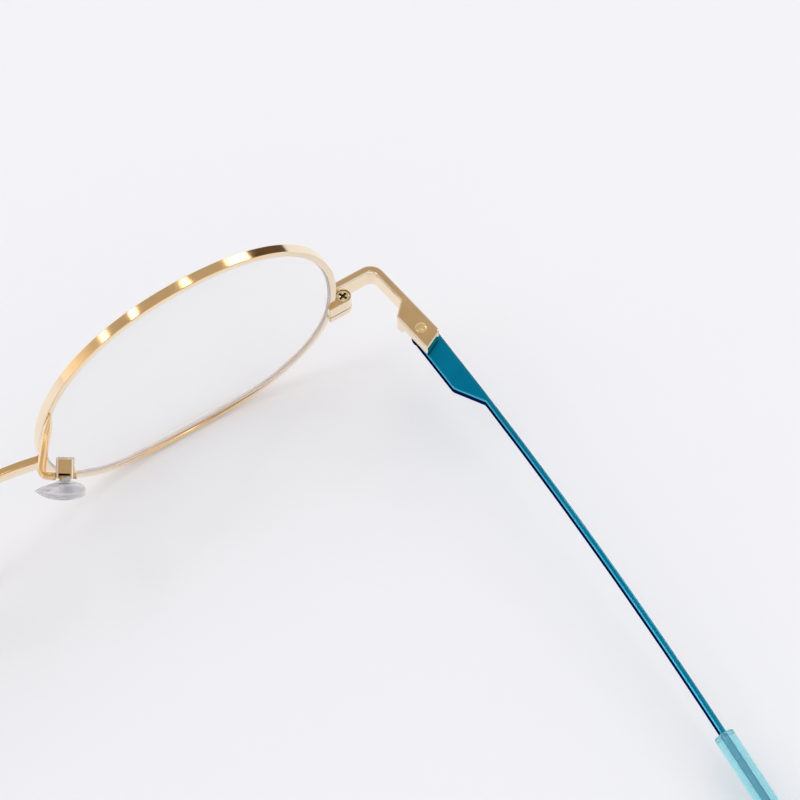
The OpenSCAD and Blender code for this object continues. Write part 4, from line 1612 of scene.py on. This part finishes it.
@dataclass
class Temples:
    """Anodised temples with their wire cores, and the sleeves on their tips."""

    shop: Workshop
    plate_top: float = -0.00189
    thick: float = 0.00115
    leaf_deg: float = 5.5
    stop_fore: float = 0.0026
    run_gap: float = 0.00002
    temple_out: float = 0.00228
    plate_in: float = 0.0012
    plate_front: float = 0.0003
    nose_r: float = 0.00138
    plate_len: float = 0.0100
    taper_len: float = 0.00435
    taper_round: float = 0.0014
    bar_w: float = 0.00084
    bow_start: float = 0.0072
    bow_r: float = 0.77
    pin_d: float = 0.0014
    sleeve_start: float = 0.0734
    ear_start: float = 0.105
    ear_r: float = 0.032
    ear_deg: float = 38.0
    sleeve_d: float = 0.00278
    core_d: float = 0.0010
    sleeve_tail: float = 0.006
    core_gap: float = 0.00002
    tip_run: float = 0.018765
    bevel: float = 0.0002

    def build(self) -> None:
        """Builds the temple, its core and the sleeve."""
        self.temple()
        self.sleeve()

    def bow(self, y: float) -> float:
        """Sideways shift of the temple.

        Args:
            y: distance behind the pin.

        Returns:
            The shift outwards, which is nought or negative.
        """
        if y < self.bow_start:
            return 0.0
        return math.sqrt(self.bow_r ** 2 - (y - self.bow_start) ** 2) - self.bow_r

    def course(self, tail: float, early: float = 0.0, steps: int = 48) -> list[Vector]:
        """Middle line of the tip.

        Args:
            tail: length of the straight end behind the ear bend.
            early: how far in front of the sleeve's mouth it starts.
            steps: segments along the bend.

        Returns:
            Points in the hinge's frame.
        """
        slant = -math.degrees(math.asin((self.sleeve_start - self.bow_start) / self.bow_r))
        mid = self.temple_out - self.bar_w / 2 + self.bow(self.sleeve_start)
        place = shift(mid, -self.sleeve_start, self.plate_top - self.thick / 2) @ turn("Z", slant)
        flat = self.sleeve_start - self.ear_start
        before, after = 24, 12
        line = [Vector((0, early + (flat - early) * i / before, 0)) for i in range(before)]
        for i in range(steps + 1):
            a = math.radians(self.ear_deg) * i / steps
            line.append(Vector((0, flat - self.ear_r * math.sin(a), self.ear_r * (1 - math.cos(a)))))
        a = math.radians(self.ear_deg)
        last = line[-1]
        way = Vector((0, -math.cos(a), math.sin(a)))
        line += [last + way * (tail * i / after) for i in range(1, after + 1)]
        return [place @ p for p in line]

    def temple(self) -> None:
        """Plate on the hinge that narrows to the bowed bar, with the wire core behind it."""
        front = self.stop_fore - self.run_gap
        inner = self.temple_out - self.bar_w
        bar_from = self.plate_len + self.taper_len
        a = math.radians(self.leaf_deg)
        steps = 90
        ys = [bar_from + (self.sleeve_start - bar_from) * i / steps for i in range(steps + 1)]
        corner = (self.plate_front * math.cos(a) - front * math.sin(a),
                  self.plate_front * math.sin(a) + front * math.cos(a))
        lead = (self.temple_out, (front + self.temple_out * math.sin(a)) / math.cos(a))
        taper = rounded([
            (inner, -bar_from, 0), (-self.plate_in, -self.plate_len, self.taper_round), (-self.plate_in, 0, 0)
        ], 12)[1:-1]
        plan = [Vector(corner), Vector(lead)]
        plan += [Vector((self.temple_out, lead[1] + (-bar_from - lead[1]) * i / 12)) for i in range(1, 12)]
        plan += [Vector((self.temple_out + self.bow(y), -y)) for y in ys]
        plan += [Vector((inner + self.bow(y), -y)) for y in reversed(ys)]
        plan += taper
        plan += arc_points(Vector((0, 0)), self.nose_r, 205, -90, 18)
        solid = prism(plan, self.plate_top - self.thick, self.plate_top)
        r = self.pin_d / 2 + self.run_gap
        bore = rod(r, -THROUGH, THROUGH)
        weight = wider_on_top(self.plate_top, rest=0.4)
        solid = softened(solid, self.bevel, segments=4, weight=weight, banded=True)
        line = self.course(self.tip_run - self.sleeve_tail, 0.0004)
        core = self.shop.sweep.run(line, circle(self.core_d / 2, 28), self.shop.finish.teal)
        solid = carved(carved(solid, [bore]), [core], join=True)
        mesh = smooth(moved(solid, self.shop.stance.hinge))
        # Rounded edges get the paler teal, a painted highlight
        finish = self.shop.finish
        self.shop.place(mesh, "temple_bar", Body.TEMPLE, "temple", "teal", finish.teal, edge=finish.teal_painted_highlight)

    def sleeve(self) -> None:
        """Sleeve with a rounded mouth, a bore for the core and a domed end."""
        end_run = self.tip_run - self.sleeve_d / 2
        line = self.course(end_run)
        cavity = self.course(self.tip_run - self.sleeve_tail)
        outer, bore = self.sleeve_d / 2, self.core_d / 2 + self.core_gap
        lip, mouth, dome = 0.0002, 6, 12
        chain: list[tuple[Vector, Vector, float]] = []

        def heading(points: list[Vector], i: int) -> Vector:
            """Direction of a line of points at one of them."""
            return (points[min(i + 1, len(points) - 1)] - points[max(i - 1, 0)]).normalized()

        ahead = heading(line, 0)
        for i in range(mouth + 1):
            a = math.pi / 2 * i / mouth
            rise = math.sin(a)
            chain.append((line[0] + ahead * (lip * (1 - rise)), ahead, outer - lip + lip * rise))
        chain += [(p, heading(line, i), outer) for i, p in enumerate(line) if i > 0]
        tail = heading(line, len(line) - 1)
        for i in range(1, dome + 1):
            a = math.pi / 2 * i / dome
            radius = outer * math.cos(a) if i < dome else 0.0
            chain.append((line[-1] + tail * (outer * math.sin(a)), tail, radius))
        inside = [(p, heading(cavity, i), bore) for i, p in enumerate(cavity) if i > 0]
        inside = [(line[0] + ahead * HAIR, ahead, bore)] + inside
        inside.append((cavity[-1] + heading(cavity, len(cavity) - 1) * HAIR, inside[-1][1], 0.0))
        chain = list(reversed(inside)) + [(line[0], ahead, bore + 2 * PLAY)] + chain
        mesh = moved(self.tube(chain, sides=36), self.shop.stance.hinge)
        mesh = smooth(mesh, sharp_deg=50, weighted=False)
        self.shop.place(mesh, "tip_sleeve", Body.TEMPLE, "temple_tip", "tip", self.shop.finish.aqua)

    @staticmethod
    def tube(chain: Sequence[tuple[Vector, Vector, float]], sides: int) -> bpy.types.Mesh:
        """Closed skin over rings that each have a centre, a heading and a radius.

        Args:
            chain: the rings in order; a radius of nought is a pole.
            sides: points round each ring.

        Returns:
            The closed mesh.
        """
        bm = bmesh.new()
        across = Vector((1, 0, 0))
        rings = []
        for centre, ahead, radius in chain:
            if radius == 0.0:
                rings.append([bm.verts.new(centre)])
                continue
            u = (across - ahead * across.dot(ahead)).normalized()
            w = ahead.cross(u)
            ring = []
            for i in range(sides):
                a = 2 * math.pi * i / sides
                ring.append(bm.verts.new(centre + (u * math.cos(a) + w * math.sin(a)) * radius))
            rings.append(ring)
        for a, b in zip(rings, rings[1:]):
            join_rings(bm, a, b)
        return to_mesh(bm, "tube")


@dataclass
class NosePads:
    """Pad arms, boxes, screws, cores and the silicone pads."""

    shop: Workshop
    rim_w: float = 0.00095
    rim_d: float = 0.0015
    arm_d: float = 0.0012
    arm_bend: float = 0.001
    arm_deg: float = 166.0
    arm_reach: float = 0.0033
    arm_side: float = 0.0008
    arm_low: float = 0.00015
    box_w: float = 0.0024
    box_l: float = 0.0028
    box_h: float = 0.0029
    box_fore: float = 0.0005
    box_lip: float = 0.0002
    box_wall: float = 0.00042
    screw_d: float = 0.0006
    head_d: float = 0.0011
    head_h: float = 0.0004
    slot_w: float = 0.00022
    pad_w: float = 0.0068
    pad_l: float = 0.013
    pad_t: float = 0.0023
    crown_r: float = 0.008
    face_r: float = 0.009
    pad_shift: float = 0.0006
    pad_lean: float = 0.0008
    pad_drop: float = 0.00215
    boss_w: float = 0.0015
    boss_l: float = 0.0015
    core_t: float = 0.0004
    core_off: float = 0.00015
    core_w: float = 0.0032
    core_l: float = 0.0056
    collar_d: float = 0.0023
    collar_z: float = 0.00082
    collar_round: float = 0.0001
    box_bevel: float = 0.00034
    core_bevel: float = 0.00005
    screw_bevel: float = 0.00006

    @property
    def core_mid(self) -> float:
        """Height of the middle of the core's plate over the screw."""
        return self.pad_drop + self.core_off - self.core_t / 2

    def build(self) -> None:
        """Builds every piece of a pad and its mount."""
        self.arm()
        self.box()
        self.screw()
        self.core()
        self.pad()

    def on_rim(self, degrees: float, height: float) -> Vector:
        """Point over the middle of the rim's wire on its side arc.

        Args:
            degrees: its angle about the arc's centre.
            height: how far it lies behind the rim's back face.

        Returns:
            The point in the lens plane's frame.
        """
        arc = self.shop.outline.arcs()[2]
        r, a = arc.r - self.rim_w / 2, math.radians(degrees)
        return Vector((arc.x + r * math.cos(a), arc.y + r * math.sin(a), self.rim_d + height))

    def arm(self) -> None:
        """Wire brazed along the rim's back that leaves it and bends over to the box."""
        stance = self.shop.stance
        to_lens = stance.lens_plane.inverted() @ stance.pad_screw
        half = self.arm_d / 2
        root = self.on_rim(self.arm_deg, half - 0.00005)
        knee = to_lens @ Vector((-self.arm_reach, self.arm_side, self.arm_low))
        end = to_lens @ Vector((-self.box_w / 2 + HAIR, self.arm_side, self.arm_low))
        u, v = (knee - root).normalized(), (end - knee).normalized()
        cut = self.arm_bend * math.tan(u.angle(v) / 2)
        lead, lead_deg, thin, passes = 9, 6, 0.25, 14
        straight, bend, rest = 10, 16, 6
        line, widths = [], []
        for i in range(lead):
            t = i / lead
            swell = math.sin(math.pi / 2 * t)
            line.append(self.on_rim(self.arm_deg - lead_deg * (1 - t), half * (thin + 0.66 * swell)))
            widths.append(thin + 0.75 * swell)
        line += [root.lerp(knee - u * cut, i / straight) for i in range(straight)]
        first, last = knee - u * cut, knee + v * cut
        for i in range(bend + 1):
            t = i / bend
            line.append(first * (1 - t) ** 2 + knee * 2 * t * (1 - t) + last * t ** 2)
        line += [last.lerp(end, i / rest) for i in range(1, rest + 1)]
        widths += [1.0] * (len(line) - lead)
        for _ in range(passes):
            line = [line[0]] + [(a + b * 2 + c) / 4 for a, b, c in zip(line, line[1:], line[2:])] + [line[-1]]
        mesh = self.shop.sweep.run(line, circle(half, 28), self.shop.finish.gold, widths=widths)
        mesh = smooth(moved(mesh, stance.lens_plane))
        self.shop.place(mesh, "pad_arm_wire", Body.FRONT, "pad_arm", "gold", self.shop.finish.gold)

    def box(self) -> None:
        """Small rounded box with two cheeks that hold the screw, open towards the pad."""
        w, l = self.box_w / 2, self.box_l / 2
        low, wall = self.box_fore - self.box_h, self.box_wall
        outer = block((-w, -l, low), (w, l, self.box_fore))
        inner = block((-w + wall, -l + wall, low + wall), (w - wall, l - wall, self.box_fore + 0.001))
        gap = block((-w + wall, -2 * l, -self.box_lip), (w - wall, 2 * l, self.box_fore + 0.001))
        r = self.screw_d / 2 + HAIR
        bore = moved(rod(r, -0.003, 0.003, 36), turn("Y", 90))

        def share(p: Vector, q: Vector) -> float:
            """Full rounding on the outer corners and the closed end, none elsewhere.

            Args:
                p: one end of the edge.
                q: its other end.

            Returns:
                The edge's share of the rounding.
            """
            mid = (p + q) / 2
            corner = abs(mid.x) > w - HAIR and abs(mid.y) > l - HAIR
            closed = mid.z < low + HAIR
            return 1.0 if corner or closed else 0.0

        mesh = carved(outer, [inner, gap, bore])
        mesh = softened(mesh, self.box_bevel, segments=5, limit_deg=35, weight=share, banded=True)
        mesh = smooth(moved(mesh, self.shop.stance.pad_screw))
        # Rounded edges get the paler gold, a painted highlight
        finish = self.shop.finish
        self.shop.place(mesh, "pad_box_shell", Body.FRONT, "pad_box", "gold", finish.gold,
                        edge=finish.gold_painted_highlight)

    def screw(self) -> None:
        """Slotted screw through the box."""
        sizes = {
            "Head Radius": self.head_d / 2, "Head Height": self.head_h,
            "Shank Radius": self.screw_d / 2, "Shank Length": self.box_w - 0.00005,
            "Slot Length": self.head_d * 1.2, "Slot Width": self.slot_w,
            "Slot Depth": self.head_h / 2, "Slot Turn": math.radians(90),
        }
        finish = self.shop.finish
        mesh = self.shop.screw.run(sizes, 1, finish.pale_gold, self.screw_bevel)
        place = self.shop.stance.pad_screw @ turn("Y", 90) @ shift(0, 0, self.box_w / 2)
        mesh = smooth(moved(mesh, place))
        # The slot gets the dark gold, a painted shade
        self.shop.place(mesh, "pad_screw_slotted", Body.FRONT, "pad_screw", "screw", finish.pale_gold,
                        edge=finish.recess)

    def core(self) -> None:
        """Metal stud in the box, with its plate inside the pad."""
        half_w, half_l = self.boss_w / 2, self.boss_l / 2
        mesh = block((-half_w, -half_l, 0), (half_w, half_l, self.core_mid))
        eye = moved(rod(half_l - HAIR / 2, -half_w + HAIR, half_w - HAIR, 48), turn("Y", 90))
        for form in (eye, self.plate(0.0), self.collar(0.0)):
            mesh = carved(mesh, [form], join=True)
        r = self.screw_d / 2 + PLAY
        bore = moved(rod(r, -0.003, 0.003, 36), turn("Y", 90))
        mesh = softened(carved(mesh, [bore]), self.core_bevel, segments=2, limit_deg=35)
        mesh = smooth(moved(mesh, self.shop.stance.pad_screw))
        self.shop.place(mesh, "pad_core_stud", Body.PAD, "pad_core", "core", self.shop.finish.steel)

    def plate(self, grow: float) -> bpy.types.Mesh:
        """Oval plate of the core, or the hole for it in the pad.

        Args:
            grow: how much larger than the core's own it is.

        Returns:
            The plate.
        """
        mid, half = self.core_mid, self.core_t / 2 + grow
        mesh = rod(self.core_w / 2 + grow, mid - half, mid + half)
        return moved(mesh, Matrix.Diagonal((1, self.core_l / self.core_w, 1, 1)))

    def collar(self, grow: float) -> bpy.types.Mesh:
        """Round collar on the stud, or the hole for it in the pad.

        Args:
            grow: how much larger than the core's own it is.

        Returns:
            The collar.
        """
        r, z, soft = self.collar_d / 2 + grow, self.collar_z - grow, self.collar_round
        edge = [(r - soft + soft * math.sin(t), z + soft * (1 - math.cos(t)))
                for t in (math.pi / 2 * i / 4 for i in range(5))]
        return lathe([(0, z)] + edge + [(r, self.core_mid), (0, self.core_mid)])

    def pad(self) -> None:
        """Silicone drop with crowned faces that is thicker away from the nose, with a socket for its core."""
        rings, around = 26, 96
        flatness, blunt, thinnest = 12, 2.5, 0.0002
        bm = bmesh.new()
        top, bottom = [], []
        for k in range(rings + 1):
            share = math.sin(math.pi / 2 * k / rings)
            fill = (1 - share ** flatness) ** (1 / blunt)
            upper, lower = [], []
            for i in range(around if k else 1):
                a = 2 * math.pi * i / around
                x, y = share * self.pad_w / 2 * math.cos(a), share * self.pad_l / 2 * math.sin(a)
                off = x - self.pad_lean
                back = self.crown_r - math.sqrt(self.crown_r ** 2 - off ** 2)
                face = self.pad_t - self.face_r + math.sqrt(self.face_r ** 2 - off ** 2)
                mid, half = (back + face) / 2, max(face - back, thinnest) / 2 * fill
                base = self.pad_drop - self.pad_t / 2
                upper.append((x - self.pad_shift, y, base + mid - half))
                lower.append((x - self.pad_shift, y, base + mid + half))
            top.append([bm.verts.new(p) for p in upper])
            bottom.append(top[-1] if k == rings else [bm.verts.new(p) for p in lower])
        for shell in (top, bottom):
            for a, b in zip(shell, shell[1:]):
                join_rings(bm, a, b)
        body = to_mesh(bm, "pad")
        body = carved(body, [carved(self.plate(PLAY), [self.collar(PLAY)], join=True)])
        mesh = smooth(moved(body, self.shop.stance.pad_screw), sharp_deg=40)
        self.shop.place(mesh, "silicone_pad", Body.PAD, "nose_pad", "pad", self.shop.finish.silicone)


# Studio


@dataclass
class Studio:
    """Table, lamps, surroundings and camera."""

    shop: Workshop
    table_half: float = 1.6
    ceiling: float = 0.5
    horizon: float = 1.05
    key_power: float = 0.75
    plain_level: float = 0.92
    opening_deg: float = 22.0
    lamp_distance: float = 1.2
    lamp_aim: Place = (0.03, 0.04, 0.01)
    lamp_colour: Rgb = (1.0, 0.985, 0.96)
    sensor_mm: float = 36.0
    focal_mm: float = 112.5
    eye: Place = (-0.0388572, -0.1347325, 0.2924806)
    eye_right: Place = (0.83981404, -0.53762281, -0.07532656)
    eye_up: Place = (0.46855704, 0.64776057, 0.60071669)

    def build(self) -> None:
        """Sets up everything round the spectacles."""
        self.table()
        self.surroundings()
        self.lamp("key_lamp", (0.36, 0.10, 0.93), (0.55, 0.55), self.key_power, mirrored_in_metal=False)
        self.lamp("window_strip", (0.70, 0.25, 0.67), (0.10, 0.36), 0.45)
        self.lamp("ceiling_spot", (0.22, 0.18, 0.958), (0.09, 0.09), 0.11)
        self.lamp("far_spot", (-0.34, 0.19, 0.92), (0.20, 0.10), 0.30)
        self.lamp("low_spot", (-0.68, 0.246, 0.69), (0.12, 0.12), 0.18)
        self.camera()

    def table(self) -> None:
        """Large table top at the floor's height."""
        bm = bmesh.new()
        bmesh.ops.create_grid(bm, x_segments=8, y_segments=8, size=self.table_half)
        mesh = bpy.data.meshes.new("table_top")
        bm.to_mesh(mesh)
        bm.free()
        mesh.materials.append(self.shop.finish.table)
        top = linked("table_top", mesh)

    def surroundings(self) -> None:
        """World that is white at the horizon and greyer overhead, with one dark opening to the left."""
        world = bpy.data.worlds.new("room")
        bpy.context.scene.world = world
        world.use_nodes = True
        tree = world.node_tree
        tree.nodes.clear()
        view = tree.nodes.new("ShaderNodeTexCoord").outputs["Generated"]
        height = added(tree, "ShaderNodeSeparateXYZ", {0: view}).outputs["Z"]
        a = math.radians(self.opening_deg)
        across, ahead = [
            added(tree, "ShaderNodeVectorMath", {0: view, 1: way}, operation="DOT_PRODUCT").outputs["Value"]
            for way in ((-math.sin(a), math.cos(a), 0), (math.cos(a), math.sin(a), 0))
        ]
        level = ranged(tree, height, (0.22, 0.7), (self.horizon, self.ceiling))
        beside = ranged(tree, maths(tree, "ABSOLUTE", across), (0.10, 0.2), (0.0, 1.0))
        above = ranged(tree, height, (0.47, 0.58), (0.0, 1.0))
        behind = ranged(tree, ahead, (0.0, 0.1), (1.0, 0.0))
        open_air = maths(tree, "MAXIMUM", maths(tree, "MAXIMUM", beside, above), behind)
        strength = maths(tree, "MULTIPLY", level, ranged(tree, open_air, (0.0, 1.0), (0.1, 1.0)))
        hue = blended(tree, open_air, (1.0, 0.60, 0.32), (0.985, 0.99, 1.0))
        room, even, plain = [
            added(tree, "ShaderNodeBackground", {"Color": colour, "Strength": power}).outputs[0]
            for colour, power in (
                (hue, strength), ((0.99, 0.99, 1.0, 1.0), self.plain_level), ((0.90, 0.90, 0.92, 1.0), 1.0)
            )
        ]
        rays = tree.nodes.new("ShaderNodeLightPath").outputs
        scattered = maths(tree, "MINIMUM", rays["Diffuse Depth"], 1.0)
        matt = added(tree, "ShaderNodeMixShader", {"Fac": scattered, 1: room, 2: even}).outputs[0]
        direct = rays["Is Camera Ray"]
        seen = added(tree, "ShaderNodeMixShader", {"Fac": direct, 1: matt, 2: plain}).outputs[0]
        added(tree, "ShaderNodeOutputWorld", {"Surface": seen})

    def lamp(
        self,
        name: str,
        toward: Sequence[float],
        size: tuple[float, float],
        power: float,
        mirrored_in_metal: bool = True,
    ) -> None:
        """Rectangular lamp that faces the spectacles.

        Args:
            name: the lamp's name.
            toward: direction from the spectacles to the lamp.
            size: its width and length.
            power: its power in watts.
            mirrored_in_metal: whether reflections show it.
        """
        data = bpy.data.lights.new(name, "AREA")
        data.shape = "RECTANGLE"
        data.size, data.size_y = size
        data.energy = power
        data.color = self.lamp_colour
        obj = linked(name, data)
        obj.visible_glossy = mirrored_in_metal
        direction = Vector(toward).normalized()
        obj.location = Vector(self.lamp_aim) + direction * self.lamp_distance
        obj.rotation_euler = (-direction).to_track_quat("-Z", "Y").to_euler()

    def camera(self) -> None:
        """Camera at the photograph's angle, fitted to the lens outline and the temple."""
        data = bpy.data.cameras.new("camera")
        data.sensor_width = self.sensor_mm
        data.lens = self.focal_mm
        data.clip_start = 0.01
        data.clip_end = 20.0
        obj = linked("camera", data)
        right, up = Vector(self.eye_right), Vector(self.eye_up)
        heading = Matrix((right, up, right.cross(up))).transposed().to_4x4()
        obj.matrix_world = shift(*self.eye) @ heading
        bpy.context.scene.camera = obj


def dress_small_nodes(shop: Workshop, nodes: dict[str, bpy.types.Object]) -> None:
    """Gives the CAD nodes that stay their finish.

    Args:
        shop: the workshop with the finishes.
        nodes: the frame's CAD nodes.
    """
    finishes = {"hinge_washer": shop.finish.nylon, "hinge_foot": shop.finish.pale_gold}
    for side in Side:
        for name, finish in finishes.items():
            node = nodes[f"{side.value}_{name}"]
            for place in node.material_slots:
                place.material = finish
            LOG.info("%s_%s keeps its shape", side.value, name)


def main() -> None:
    """Builds the spectacles and the studio in order."""
    logging.basicConfig(level=logging.INFO, format="%(message)s")
    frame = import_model()
    shop = Workshop(Stance(), RimOutline())
    for assembly in (FrontFrame(shop), LockAndHinge(shop), Temples(shop), NosePads(shop)):
        assembly.build()
        LOG.info("%s done", type(assembly).__name__)
    dress_small_nodes(shop, frame["nodes"])
    Studio(shop).build()
    bpy.context.scene.view_settings.view_transform = "Standard"


if __name__ == "__main__":
    main()
